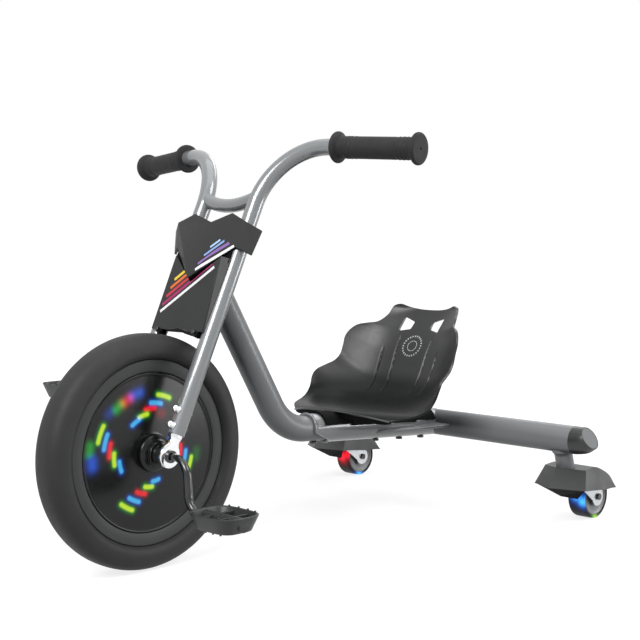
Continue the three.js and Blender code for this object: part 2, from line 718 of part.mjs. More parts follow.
// Where the sloping run of the main tube meets the line of the rear run.
function bendCorner() {
  const [y0, z0] = onAxis(headBottom + mainTube.join);
  const fall = Math.tan(mainTube.slope);
  const drop = Math.tan(rearLine.drop);
  const y = (z0 + fall * y0 - crossTube.z - drop * crossTube.y) / (fall - drop);
  return [y, rearLineHeight(y)];
}

// A solid that lies along the rear line, made along Y and then tilted into place.
const alongRearLine = (geometry) =>
  geometry.translate(0, -crossTube.y, 0).rotateX(-rearLine.drop).translate(0, crossTube.y, crossTube.z);

const mainPath = () => {
  const start = onAxis(headBottom + mainTube.join);
  const rearEnd = crossTube.y - mainTube.rearEnd;
  const end = [rearEnd, rearLineHeight(rearEnd)];
  return new BentPath([start, bendCorner(), end].map(([y, z]) => [0, y, z]), mainTube.bend, bendSteps);
};

function mainTubeShape() {
  const pipe = tube(mainPath(), mainTube.radius, mainTube.radius - mainTube.wall, facets.tube);
  const tool = rodZ(headTube.radius + fit.seat, headBottom - overrun, headTop + overrun, facets.boss);
  const head = onSteeringAxis(tool).rotateX(-steer.rake).translate(0, 0, wheel.radius);
  return cut(pipe, head, ...seatBoltHoles());
}

function headTubeShape() {
  const ring = [
    [headTube.bore, headBottom],
    [headTube.bore, headTop],
    [headTube.radius, headTop],
    [headTube.radius, headBottom],
  ];
  return onSteeringAxis(turnZ(ring, facets.boss));
}

// A headset cup, with its skirt inside the head tube. The lower one is made and the upper one is its mirror.
function headsetCupShape() {
  const skirtRadius = headTube.bore - fit.seat;
  const ring = [
    [skirtRadius - headset.wall, -headset.cup],
    [headset.radius, -headset.cup],
    [headset.radius, -fit.seat],
    [skirtRadius, -fit.seat],
    [skirtRadius, headset.skirt],
    [skirtRadius - headset.wall, headset.skirt],
  ];
  return onSteeringAxis(turnZ(ring, facets.boss));
}

// The sleeve over the main tube, with a bead round its mouth and an oblique scoop below.
function sleeveShape() {
  const bore = mainTube.radius + fit.seat;
  const back = crossTube.y;
  const pipe = join(
    rodY(sleeve.radius, sleeveFront, back, facets.tube),
    rodY(sleeve.radius + sleeve.bead, sleeveFront, sleeveFront + sleeve.beadWidth, facets.tube),
  );
  const scoop = onSide(slab([
    [sleeveFront - overrun, -sleeve.scoopDrop],
    [sleeveFront, -sleeve.scoopDrop],
    [sleeveFront + sleeve.scoop, -sleeve.radius - sleeve.bead],
    [sleeveFront + sleeve.scoop, -overrun],
    [sleeveFront - overrun, -overrun],
  ], -overrun, overrun));
  const hollow = cut(pipe, rodY(bore, sleeveFront - overrun, back + overrun, facets.tube), scoop);
  const cross = atCrossTube(rodX(crossTube.radius + fit.seat, -overrun, overrun, facets.tube));
  const behind = box([-overrun, overrun], [crossTube.y, crossTube.y + overrun], [0, 2 * crossTube.z]);
  return cut(alongRearLine(hollow), cross, behind, ...seatBoltHoles());
}

// The cross tube is a plain open pipe. The end caps close it.
function crossTubeShape() {
  const ring = [
    [crossTube.radius - crossTube.wall, -crossTube.end],
    [crossTube.radius - crossTube.wall, crossTube.end],
    [crossTube.radius, crossTube.end],
    [crossTube.radius, -crossTube.end],
  ];
  return atCrossTube(turnX(ring, facets.tube));
}

// A triangular plate in the corner between the sleeve and the cross tube, on the +X side.
function gussetShape() {
  const z = crossTube.z - gusset.drop;
  const plate = slab([
    [0, gussetFront],
    [sleeve.radius + gusset.front, gussetFront + gusset.back],
    [sleeve.radius + gusset.back, crossTube.y - crossTube.radius - gusset.back],
    [sleeve.radius + gusset.back, crossTube.y],
    [0, crossTube.y],
  ], z, z + gusset.wall);
  const end = crossTube.y + overrun;
  const keepout = alongRearLine(rodY(sleeve.radius + fit.seat, sleeveFront, end, facets.tube));
  const cross = atCrossTube(rodX(crossTube.radius + fit.seat, -crossTube.end, crossTube.end, facets.tube));
  return cut(plate, keepout, cross);
}

// The end cap of the cross tube has a round nose that is cut obliquely for its flat face, on the +X side.
const capCentre = crossTube.end + endCap.neck;
const capFaceRadius = Math.sqrt(crossTube.radius ** 2 - endCap.face ** 2) - endCap.rim;
const onCapFace = (geometry) =>
  geometry.translate(endCap.face, 0, 0).rotateY(-endCap.tilt).translate(capCentre, 0, 0);

function endCapShape() {
  const start = crossTube.end + fit.seat;
  const steps = 4;
  const nose = Array.from({ length: steps }, (_, i) => {
    const angle = (Math.PI * i) / (2 * steps);
    return [crossTube.radius * Math.cos(angle), capCentre + crossTube.radius * Math.sin(angle)];
  });
  const profile = [[0, start], [crossTube.radius, start], ...nose, [0, capCentre + crossTube.radius]];
  const body = turnX(profile, facets.tube);
  const plugRadius = crossTube.radius - crossTube.wall - fit.seat;
  const plug = rodX(plugRadius, start - endCap.plug, start + endCap.disc, facets.tube);
  const beyond = onCapFace(box([0, 2 * overrun], [-overrun, overrun], [-2 * overrun, 2 * overrun]));
  const recess = onCapFace(rodX(capFaceRadius, -endCap.disc - fit.seat, overrun, facets.boss));
  return atCrossTube(cut(join(body, plug), beyond, recess));
}

const endDiscShape = () =>
  atCrossTube(onCapFace(rodX(capFaceRadius - fit.seat, -endCap.disc, 0, facets.boss)));

// The seat

const seatFront = crossTube.y - seat.ahead;
const seatFloor = crossTube.z + seat.above;
const seatBoltPlaces = seatBolt.ahead.map((ahead) => crossTube.y - ahead);
const seatPoint = ([across, along, up]) =>
  [across * seat.halfWidth, seatFront + along * seat.depth, seatFloor + up * seat.rise];

// A point of the seat's upper surface. Row follows the tables, and across runs from -1 to 1.
function seatSurface(row, across) {
  const [along, up] = seatCentreShares[row];
  const [edgeX, edgeAlong, edgeUp] = seatEdgeShares[row];
  const fold = Math.abs(across) ** seatFoldPower;
  return seatPoint([across * edgeX, along + (edgeAlong - along) * fold, up + (edgeUp - up) * fold]);
}

function seatShape() {
  const rows = seatCentreShares.length;
  const columns = seatColumns + 1;
  const grid = (row, column) => row * columns + column;
  const outer = [];
  for (let row = 0; row < rows; row += 1) {
    for (let column = 0; column < columns; column += 1) {
      outer.push(seatSurface(row, (2 * column) / seatColumns - 1));
    }
  }
  const vector = (row, column) => new THREE.Vector3(...outer[grid(
    THREE.MathUtils.clamp(row, 0, rows - 1), THREE.MathUtils.clamp(column, 0, columns - 1))]);
  const inner = outer.map(([x, y, z], i) => {
    const [row, column] = [Math.floor(i / columns), i % columns];
    const along = vector(row + 1, column).sub(vector(row - 1, column));
    const across = vector(row, column + 1).sub(vector(row, column - 1));
    const down = along.cross(across).normalize();
    const sideEdge = Math.abs((2 * column) / seatColumns - 1) ** seatRimPower;
    const endEdge = row === 0 || row === rows - 1 ? 1 : 0;
    const thick = seat.wall + seat.rim * Math.max(sideEdge, endEdge);
    return [x + down.x * thick, y + down.y * thick, z + down.z * thick];
  });
  const faces = [];
  for (let row = 0; row < rows - 1; row += 1) {
    for (let column = 0; column < columns - 1; column += 1) {
      const [near, far] = [grid(row, column), grid(row + 1, column)];
      faces.push([near, near + 1, far + 1, far]);
    }
  }
  const shell = foldedSheet(outer, inner, faces);
  const window = slab(windowShares.map(([across, up]) =>
    [across * seat.halfWidth, seatFloor + up * seat.rise]), 0, seat.depth).rotateX(Math.PI / 2)
    .translate(0, seatFront + seat.depth + overrun, 0);
  return cut(shell, window, flipX(window));
}

// The underside of the seat pan, at its lowest.
const panBottom = () => {
  const lowest = Math.min(...seatCentreShares.map(([, up]) => up));
  return seatFloor + lowest * seat.rise - seat.wall;
};

// The saddle bracket over the sleeve, with a flat pad under the seat pan.
function bracketShape() {
  const [frontY, backY] = [crossTube.y - bracket.ahead, crossTube.y - bracket.backAhead];
  const reach = [frontY - overrun, backY + overrun];
  const saddle = alongRearLine(cut(
    rodY(sleeve.radius + fit.seat + bracket.wall, frontY, backY, facets.tube),
    box([-overrun, overrun], reach, [-overrun, bracket.skirt]),
  ));
  const padY = [frontY, crossTube.y - bracket.padAhead];
  const padZ = [rearLineHeight(padY[0]) + bracket.skirt, panBottom() - fit.seat];
  const pad = box([-bracket.padHalf, bracket.padHalf], padY, padZ);
  const bore = alongRearLine(rodY(sleeve.radius + fit.seat, ...reach, facets.tube));
  return cut(join(saddle, pad), bore, ...seatBoltHoles());
}

const seatBoltHoles = () => seatBoltPlaces.map((y) =>
  rodZ(seatBolt.radius + fit.seat, 0, seatFloor + seat.rise, facets.rod).translate(0, y, 0));

// A bolt from below, up through the sleeve and the main tube.
function seatBoltShape(y, radius, top) {
  const seatZ = rearLineHeight(y) - radius / Math.cos(rearLine.drop) - 2 * fit.seat;
  const head = rodZ(seatBolt.head, seatZ - seatBolt.headHeight, seatZ, facets.fine);
  const shank = rodZ(seatBolt.radius, seatZ - seatBolt.headHeight / 2, top, facets.rod);
  return join(head, shank).translate(0, y, 0);
}

// Casters, with y and z measured in the trike's own frame and x from the caster's middle

const casterWheelY = crossTube.y + caster.trail;
const casterTurn = (geometry) =>
  geometry.rotateX(caster.rake).translate(0, crossTube.y, crossTube.z);

// A raked post, coped to the cross tube, with a bore for the fork's stem.
function postShape() {
  const outer = rodZ(caster.postRadius, -caster.postLength, 0, facets.tube);
  const boreTop = -crossTube.radius - 2 * fit.slide;
  const bore = rodZ(caster.postBore, -caster.postLength - overrun, boreTop, facets.tube);
  const cross = rodX(crossTube.radius + fit.seat, -overrun, overrun, facets.tube);
  return casterTurn(cut(outer, bore, cross));
}

// The round end of each cheek, from low in front to high behind.
const cheekArc = [1.1, 2.2].map((turnShare) => turnShare * Math.PI);

// The fork: a stem in the post, a bridge under it and two plates that reach back to the wheel.
function casterForkShape() {
  const stemTop = -crossTube.radius - 2 * fit.slide - fit.run;
  const under = caster.postLength + caster.bridgeDrop;
  const stem = casterTurn(rodZ(caster.stemRadius, -under - caster.plate / 2, stemTop, facets.fine));
  const inside = caster.wheelWidth / 2 + fit.run + fit.seat;
  const outside = inside + caster.plate;
  const bridge = casterTurn(box([-outside, outside], [-caster.bridgeHalf, caster.bridgeHalf],
    [-under - caster.plate, -under]));
  const corner = (across, down) => [
    crossTube.y + across * Math.cos(caster.rake) + down * Math.sin(caster.rake),
    crossTube.z + across * Math.sin(caster.rake) - down * Math.cos(caster.rake),
  ];
  const outline = new THREE.Shape();
  outline.moveTo(...corner(caster.bridgeHalf, under));
  outline.lineTo(...corner(-caster.bridgeHalf, under));
  outline.lineTo(...corner(-caster.bridgeHalf, under + 2 * caster.plate));
  outline.absarc(casterWheelY, caster.wheelRadius, caster.plateHalf, ...cheekArc, false);
  const cheek = onSide(slab(outline, inside, outside));
  const bore = rodX(caster.axleRadius + fit.seat, -overrun, overrun, facets.fine)
    .translate(0, casterWheelY, caster.wheelRadius);
  return cut(join(stem, bridge, cheek, flipX(cheek)), bore);
}

function casterAxleShape() {
  const face = caster.wheelWidth / 2 + fit.run + 2 * fit.seat + caster.plate;
  const [nutMiddle, headMiddle] = [-face - caster.axleNutHeight / 2, face + caster.axleHeadHeight / 2];
  const rod = rodX(caster.axleRadius, nutMiddle, headMiddle, facets.fine);
  const head = rodX(caster.axleHead, face, face + caster.axleHeadHeight, facets.fine);
  const nut = rodX(caster.axleHead, -face - caster.axleNutHeight, -face, facets.hex);
  return join(rod, head, nut).translate(0, casterWheelY, caster.wheelRadius);
}

// The caster tyre's shoulder: how far in from the tread and from the side, in shares of the tread.
const treadShares = [[1.4, 0], [0.4, 0.6], [0, 1.6]];

// A rounded tyre on a clear core.
function casterTyreShape() {
  const half = caster.wheelWidth / 2;
  const shoulder = treadShares.map(([down, along]) =>
    [caster.wheelRadius - caster.tread * down, half - caster.tread * along]);
  const side = [[caster.core + fit.seat, half - fit.run], ...shoulder];
  const profile = [...side.map(([radius, x]) => [radius, -x]), ...side.reverse()];
  return turnX(profile, facets.boss).translate(0, casterWheelY, caster.wheelRadius);
}

function casterCoreShape() {
  const half = caster.wheelWidth / 2;
  const profile = [
    [caster.axleRadius + fit.seat, -half],
    [caster.axleRadius + fit.seat, half],
    [caster.hub, half],
    [caster.hub, half - caster.plate],
    [caster.core, half - caster.plate],
    [caster.core, -half + caster.plate],
    [caster.hub, -half + caster.plate],
    [caster.hub, -half],
  ];
  return turnX(profile, facets.boss).translate(0, casterWheelY, caster.wheelRadius);
}

// The faceted fender: a hood with a ridge in front and a chin below it, open over the wheel.
function fenderShape() {
  const half = [...fender.upper, ...fender.lower, fender.tail];
  const last = fender.upper.length - 1;
  const low = fender.upper.length;
  const tail = 2 * low;
  const other = tail + 1;
  const ridge = [fender.ridgeTop, fender.ridgeFoot];
  const outer = [...half, ...mirrorX(half), ...ridge, fender.chin, ...mirrorX([fender.chin])];
  const [ridgeTop, ridgeFoot, chinLeft, chinRight] = [0, 1, 2, 3].map((i) => 2 * other + i);
  const faces = [
    [ridgeTop, ridgeFoot, low, 0],
    [ridgeTop, other, other + low, ridgeFoot],
    [ridgeTop, 0, other],
    [ridgeFoot, chinLeft, low],
    [ridgeFoot, chinRight, chinLeft],
    [ridgeFoot, other + low, chinRight],
    [last, low + last, tail],
    [other + last, other + tail, other + low + last],
    [last, tail, other + tail, other + last],
  ];
  for (let i = 0; i < last; i += 1) {
    faces.push([i, low + i, low + i + 1, i + 1]);
    faces.push([other + i, other + i + 1, other + low + i + 1, other + low + i]);
    faces.push([i, i + 1, other + i + 1, other + i]);
  }
  const [, backY, floor] = fender.lower[1];
  const share = 1 - fender.wall / fender.lower[0][0];
  const shrink = (value, centre) => centre + (value - centre) * share;
  const inner = outer.map(([x, y, z]) => [shrink(x, 0), shrink(y, backY), shrink(z, floor)]);
  const under = caster.postLength + caster.bridgeDrop;
  const hole = casterTurn(rodZ(caster.postRadius + fit.run, -under, 0, facets.tube));
  return cut(atCrossTube(foldedSheet(outer, inner, faces)), hole);
}

// Assembly

const trike = new THREE.Group();

function piece(parent, name, geometry, material) {
  const mesh = new THREE.Mesh(tidy(geometry), material);
  mesh.name = name;
  parent.add(mesh);
}

const sides = [["left", 1], ["right", -1]];
const toSide = (geometry, hand) => (hand > 0 ? geometry : flipX(geometry));

function addFrontWheel(parent) {
  piece(parent, "tyre", tyreShape(), tyreRubber);
  piece(parent, "wheel_rim", rimShape(), rimPlastic);
  piece(parent, "crank", crankShape(), blackSteel);
  for (const [side, hand] of sides) {
    piece(parent, `wheel_cover_${side}`, toSide(coverShape(), hand), glossPlastic);
    piece(parent, `axle_collar_${side}`, toSide(collarShape(), hand), chrome);
    const body = pedalShape();
    const place = hand > 0 ? body : body.rotateZ(Math.PI);
    piece(parent, `pedal_${side}`, place.translate(hand * pedal.inner, 0, -hand * crank.throw), satinPlastic);
  }
}

function addFork(parent) {
  const end = new THREE.Vector3(...barEnd());
  const heading = end.clone().sub(new THREE.Vector3(bar.spread, 0, barHeight)).normalize();
  const gripStart = end.clone().addScaledVector(heading, grip.endWall + fit.seat - grip.length);
  for (const [side, hand] of sides) {
    piece(parent, `fork_leg_${side}`, toSide(legShape(), hand), barPaint);
    piece(parent, `dropout_${side}`, toSide(dropoutShape(), hand), chrome);
    piece(parent, `axle_bushing_${side}`, toSide(bushingShape(), hand), blackSteel);
    const turned = gripShape()
      .applyQuaternion(new THREE.Quaternion().setFromUnitVectors(new THREE.Vector3(0, 0, 1), heading))
      .translate(gripStart.x, gripStart.y, gripStart.z);
    piece(parent, `grip_${side}`, toSide(turned, hand), rubber);
    boltHeights.forEach((height, i) => {
      const name = `leg_bolt_${side}_${i === 0 ? "lower" : "upper"}`;
      piece(parent, name, legBoltShape().translate(hand * bar.spread, 0, height), chrome);
    });
    piece(parent, `panel_screw_${side}`, panelScrewShape().translate(hand * lug.x, 0, 0), blackSteel);
  }
  piece(parent, "crossbar", crossbarShape(), barPaint);
  piece(parent, "lower_crown", lowerCrownShape(), barPaint);
  piece(parent, "upper_crown", upperCrownShape(), barPaint);
  piece(parent, "steerer", steererShape(), steel);
  piece(parent, "steerer_nut", steererNutShape(), blackSteel);
  piece(parent, "shield_panel", panelShape(), satinPlastic);
  piece(parent, "shield_cowl", cowlShape(), satinPlastic);
}

function addHead(parent) {
  piece(parent, "head_tube", headTubeShape(), framePaint);
  piece(parent, "headset_cup_lower", headsetCupShape().translate(0, 0, headBottom), blackSteel);
  const upperCup = tidy(headsetCupShape().scale(1, 1, -1)).translate(0, 0, headTop);
  piece(parent, "headset_cup_upper", upperCup, blackSteel);
}

function addFrame(parent) {
  piece(parent, "main_tube", mainTubeShape(), framePaint);
  piece(parent, "rear_sleeve", sleeveShape(), framePaint);
  piece(parent, "cross_tube", crossTubeShape(), framePaint);
  for (const [side, hand] of sides) {
    piece(parent, `gusset_${side}`, toSide(gussetShape(), hand), framePaint);
    piece(parent, `end_cap_${side}`, toSide(endCapShape(), hand), glossPlastic);
    piece(parent, `end_cap_face_${side}`, toSide(endDiscShape(), hand), capFacePlastic);
    piece(parent, `caster_post_${side}`, postShape().translate(hand * caster.x, 0, 0), framePaint);
  }
}

function addSeat(parent) {
  piece(parent, "seat_shell", seatShape(), seatPlastic);
  piece(parent, "seat_bracket", bracketShape(), blackSteel);
  seatBoltPlaces.forEach((y, i) => {
    const radius = i === 0 ? mainTube.radius : sleeve.radius;
    const top = rearLineHeight(y) + mainTube.radius;
    piece(parent, `frame_bolt_${i + 1}`, seatBoltShape(y, radius, top), blackSteel);
  });
}

function addCasters(parent) {
  for (const [side, hand] of sides) {
    const at = hand * caster.x;
    piece(parent, `caster_fork_${side}`, casterForkShape().translate(at, 0, 0), steel);
    piece(parent, `caster_axle_${side}`, casterAxleShape().translate(at, 0, 0), blackSteel);
    piece(parent, `caster_tyre_${side}`, casterTyreShape().translate(at, 0, 0), rubber);
    piece(parent, `caster_core_${side}`, casterCoreShape().translate(at, 0, 0), lightPlastic);
    piece(parent, `caster_fender_${side}`, fenderShape().translate(at, 0, 0), satinPlastic);
  }
}

// The front group leans back with the steering axis. The wheel's front edge and the fenders' tails set
// how far the whole trike is shifted, so that the origin is in the middle of its length.
const front = new THREE.Group();
front.position.set(0, 0, wheel.radius);
front.rotation.x = -steer.rake;
const wheelGroup = new THREE.Group();
wheelGroup.rotation.x = steer.rake;
front.add(wheelGroup);
addFrontWheel(wheelGroup);
addFork(front);
addHead(front);

const whole = new THREE.Group();
whole.position.y = (wheel.radius - crossTube.y - fender.tail[1]) / 2;
whole.add(front);
addFrame(whole);
addSeat(whole);
addCasters(whole);
trike.add(whole);
trike.updateMatrixWorld(true);

export default trike;
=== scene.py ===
"""Looks of a child's drift trike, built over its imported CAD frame.

Sizes in the classes are millimetres and become metres when a mesh is made. +Z is up, -Y is forwards,
+X is the rider's left, and the origin is on the floor in the middle of the trike's length. A profile
is a table of (radius, distance along the axle), for a ring that is turned about the axle.
"""

import logging
import math
from dataclasses import dataclass, field, replace
from enum import Enum
from typing import Any, Iterable, Sequence

import bmesh
import bpy
import numpy as np
from mathutils import Matrix


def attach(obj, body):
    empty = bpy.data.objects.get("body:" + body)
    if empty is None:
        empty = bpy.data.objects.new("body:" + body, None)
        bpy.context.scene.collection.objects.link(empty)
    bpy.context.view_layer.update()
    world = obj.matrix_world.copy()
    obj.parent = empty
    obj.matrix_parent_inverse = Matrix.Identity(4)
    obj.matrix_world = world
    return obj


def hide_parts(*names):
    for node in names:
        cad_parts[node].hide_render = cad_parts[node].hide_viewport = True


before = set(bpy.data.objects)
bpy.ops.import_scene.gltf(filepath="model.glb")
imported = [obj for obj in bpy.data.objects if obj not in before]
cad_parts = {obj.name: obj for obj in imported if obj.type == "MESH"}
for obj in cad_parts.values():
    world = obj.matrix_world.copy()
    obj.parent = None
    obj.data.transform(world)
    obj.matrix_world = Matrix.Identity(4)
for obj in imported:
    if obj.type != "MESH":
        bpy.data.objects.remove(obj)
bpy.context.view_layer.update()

LOG = logging.getLogger("trike")
METRE = 0.001

Point = tuple[float, ...]
Table = tuple[Point, ...]


class Body(Enum):
    """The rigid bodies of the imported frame."""

    FRAME = "frame"
    FORK = "fork"
    FRONT_WHEEL = "front_wheel"
    LEFT_PEDAL = "left_pedal"
    RIGHT_PEDAL = "right_pedal"
    LEFT_CASTER = "left_caster"
    RIGHT_CASTER = "right_caster"
    LEFT_CASTER_WHEEL = "left_caster_wheel"
    RIGHT_CASTER_WHEEL = "right_caster_wheel"


class Side(Enum):
    """A side of the trike, with the sign of its X."""

    LEFT = 1
    RIGHT = -1

    @property
    def word(self) -> str:
        """The side's name in node names."""
        return self.name.lower()


class Axis(Enum):
    """An axis, with its place among a point's coordinates."""

    X = 0
    Y = 1
    Z = 2


# Shapes

# A rod's end is rounded over by four rings: each is smaller than the rod by the drop, and stands in
# from the end by the trim, both as shares of the rounding.
END_DROP_SHARES = np.array([1.0, 0.35, 0.08, 0.0])
END_TRIM_SHARES = np.array([0.0, 0.12, 0.45, 1.0])
# Any direction that no rod here runs along.
ASKEW = (0.3, 0.5, 0.81)
MIRROR = np.array([-1, 1, 1])


@dataclass(frozen=True)
class Place:
    """A tilt about X in degrees, then a shift in millimetres."""

    origin: tuple[float, float, float] = (0.0, 0.0, 0.0)
    tilt: float = 0.0

    def put(self, points: np.ndarray) -> np.ndarray:
        """Turn points about X and shift them.

        Args:
            points: array (n, 3).

        Returns:
            The points at the place.
        """
        c, s = math.cos(math.radians(self.tilt)), math.sin(math.radians(self.tilt))
        turn = np.array([[1, 0, 0], [0, c, -s], [0, s, c]])
        return points @ turn.T + np.array(self.origin)


@dataclass
class Shape:
    """Points in millimetres, faces as point numbers, and the light's colour at each point of a lit piece."""

    points: np.ndarray
    faces: list[list[int]]
    glow: np.ndarray | None = None

    def moved(self, place: Place) -> "Shape":
        """The shape at a place."""
        return Shape(place.put(self.points), self.faces, self.glow)

    def shifted(self, x: float, y: float = 0.0, z: float = 0.0) -> "Shape":
        """The shape moved by a distance along each axis."""
        return Shape(self.points + np.array([x, y, z]), self.faces, self.glow)

    def on_side(self, side: Side) -> "Shape":
        """The shape as made for the left, or mirrored in X for the right.

        Args:
            side: the side that it is for.

        Returns:
            The shape, its faces outwards on either side.
        """
        if side is Side.LEFT:
            return self
        return Shape(self.points * MIRROR, [face[::-1] for face in self.faces], self.glow)

    def aimed(self, start: np.ndarray, heading: np.ndarray) -> "Shape":
        """The shape, made along Z, turned to point along a heading, and its origin moved to a start.

        Args:
            start: where its origin goes.
            heading: the direction that its Z takes.

        Returns:
            The shape.
        """
        along = heading / np.linalg.norm(heading)
        side = np.cross([0.0, 1.0, 0.0], along)
        side /= np.linalg.norm(side)
        turn = np.stack([side, np.cross(along, side), along], -1)
        return Shape(self.points @ turn.T + start, self.faces, self.glow)


def joined(shapes: Iterable[Shape]) -> Shape:
    """Several shapes as one, each keeping its own points.

    Args:
        shapes: the shapes to put together.

    Returns:
        One shape with every point and face.
    """
    items = list(shapes)
    starts = np.cumsum([0] + [len(item.points) for item in items])
    faces = [[i + start for i in face] for item, start in zip(items, starts) for face in item.faces]
    return Shape(np.concatenate([item.points for item in items]), faces)


def grid_shape(points: np.ndarray, wrap_rows: bool = False) -> Shape:
    """Quads between neighbouring rows and columns of points. Columns always close on themselves.

    Args:
        points: array of (rows, columns, 3).
        wrap_rows: also join the last row to the first. Otherwise a face closes each of them.

    Returns:
        The surface as a shape.
    """
    rows, columns = points.shape[:2]
    i = np.arange(rows if wrap_rows else rows - 1)[:, None]
    j = np.arange(columns)[None, :]
    near, far = i * columns, ((i + 1) % rows) * columns
    after = (j + 1) % columns
    faces = np.stack([near + j, near + after, far + after, far + j], -1).reshape(-1, 4).tolist()
    if not wrap_rows:
        faces.append(list(range(columns))[::-1])
        faces.append([(rows - 1) * columns + k for k in range(columns)])
    return Shape(points.reshape(-1, 3), faces)


def rounded(outline: Sequence[Sequence[float]], radius: float, closed: bool = True, steps: int = 4) -> np.ndarray:
    """Cut each corner back by a radius and bridge it with a quadratic curve towards the corner.

    Args:
        outline: corner points, of two or three coordinates each.
        radius: the distance cut back along both edges, at most 0.45 of the edge.
        closed: whether the last corner joins the first. Open ends stay as they are.
        steps: points on each bridge.

    Returns:
        The points of the rounded outline.
    """
    corner = np.asarray(outline, float)

    def cut(edge: np.ndarray) -> np.ndarray:
        """The point on each edge at the radius from its corner."""
        length = np.linalg.norm(edge, axis=1, keepdims=True)
        return corner + edge / np.maximum(length, 1e-9) * np.minimum(radius, 0.45 * length)

    start, end = cut(np.roll(corner, 1, 0) - corner), cut(np.roll(corner, -1, 0) - corner)
    t = np.linspace(0, 1, steps)[None, :, None]
    curve = (1 - t) ** 2 * start[:, None] + 2 * t * (1 - t) * corner[:, None] + t**2 * end[:, None]
    if closed:
        return curve.reshape(-1, corner.shape[1])
    return np.concatenate([corner[:1], curve[1:-1].reshape(-1, corner.shape[1]), corner[-1:]])


def both_ways(half: np.ndarray) -> np.ndarray:
    """A profile followed by its own mirror image across the middle of the axle, run backwards."""
    return np.concatenate([half, (half * [1, -1])[::-1]])


def turned(profile: np.ndarray, axis: Axis, segments: int) -> Shape:
    """Turn a closed profile about an axis through the origin: radius times cosine and sine of the turn.

    Args:
        profile: the loop's points, each a radius and a distance along the axis.
        axis: X or Z.
        segments: steps round the axis.

    Returns:
        A ring-shaped closed surface.
    """
    angle = np.linspace(0, 2 * np.pi, segments, endpoint=False)[None, :]
    radius, height = profile[:, :1], profile[:, 1:2]
    across, up = radius * np.cos(angle), radius * np.sin(angle)
    along = np.broadcast_to(height, across.shape)
    order = (along, across, up) if axis is Axis.X else (across, up, along)
    return grid_shape(np.stack(order, -1), wrap_rows=True)


def bent(corners: Sequence[Sequence[float]], bend: float, steps: int) -> np.ndarray:
    """A path of straight runs joined by true arcs.

    Each arc starts bend * tan(turn / 2) before its corner. Its points are the start plus bend times
    (inward * (1 - cos) + onward * sin) of the angle gone through.

    Args:
        corners: the points where the runs would meet.
        bend: radius of each arc.
        steps: points on each arc.

    Returns:
        Points (n, 3) along the path.
    """
    corner = np.asarray(corners, float)
    path = [corner[:1]]
    for i in range(1, len(corner) - 1):
        before = corner[i] - corner[i - 1]
        after = corner[i + 1] - corner[i]
        before, after = before / np.linalg.norm(before), after / np.linalg.norm(after)
        turn = math.acos(float(np.clip(before @ after, -1, 1)))
        start = corner[i] - before * bend * math.tan(turn / 2)
        inward = (after - before * math.cos(turn)) / math.sin(turn)
        angle = np.linspace(0, turn, steps)[:, None]
        path.append(start + bend * (inward * (1 - np.cos(angle)) + before * np.sin(angle)))
    path.append(corner[-1:])
    return np.concatenate(path)


def swept(path: np.ndarray, radius: float | np.ndarray, sides: int, end_round: float = 0.8) -> Shape:
    """A round rod along a path that lies in one plane, with slightly rounded ends.

    Each ring is radius * (normal * cos + side * sin), where the side is the plane's own normal.

    Args:
        path: points (n, 3).
        radius: one radius, or one for each point of the path.
        sides: points round each ring.
        end_round: how far the edges of both ends are rounded over.

    Returns:
        The closed rod.
    """
    radii = np.broadcast_to(np.asarray(radius, float), (len(path),)).copy()
    heading = np.gradient(path, axis=0)
    heading /= np.linalg.norm(heading, axis=1, keepdims=True)
    flat = np.linalg.svd(path - path.mean(0))[2][2]
    straight = np.linalg.matrix_rank(path - path.mean(0), tol=1e-3) < 2
    if straight or abs(flat @ heading[0]) > 0.5:
        flat = np.cross(heading[0], ASKEW)
    flat = flat / np.linalg.norm(flat)
    drops, trims = END_DROP_SHARES * end_round, END_TRIM_SHARES * end_round
    first = path[0] + heading[0] * trims[:, None]
    last = path[-1] - heading[-1] * trims[::-1, None]
    line = np.concatenate([first, path[1:-1], last])
    rings = len(trims)
    heads = np.concatenate([np.repeat(heading[:1], rings, 0), heading[1:-1], np.repeat(heading[-1:], rings, 0)])
    sizes = np.concatenate([radii[0] - drops, radii[1:-1], radii[-1] - drops[::-1]])
    side = flat - (heads @ flat)[:, None] * heads
    side /= np.linalg.norm(side, axis=1, keepdims=True)
    normal = np.cross(side, heads)
    angle = np.linspace(0, 2 * np.pi, sides, endpoint=False)[None, :, None]
    ring = normal[:, None] * np.cos(angle) + side[:, None] * np.sin(angle)
    return grid_shape(line[:, None] + sizes[:, None, None] * ring)


def rod(radius: float, start: Sequence[float], end: Sequence[float], edge: float, sides: int = 40) -> Shape:
    """A straight round rod between two points, with rounded edges."""
    return swept(np.linspace(start, end, 3), radius, sides, edge)


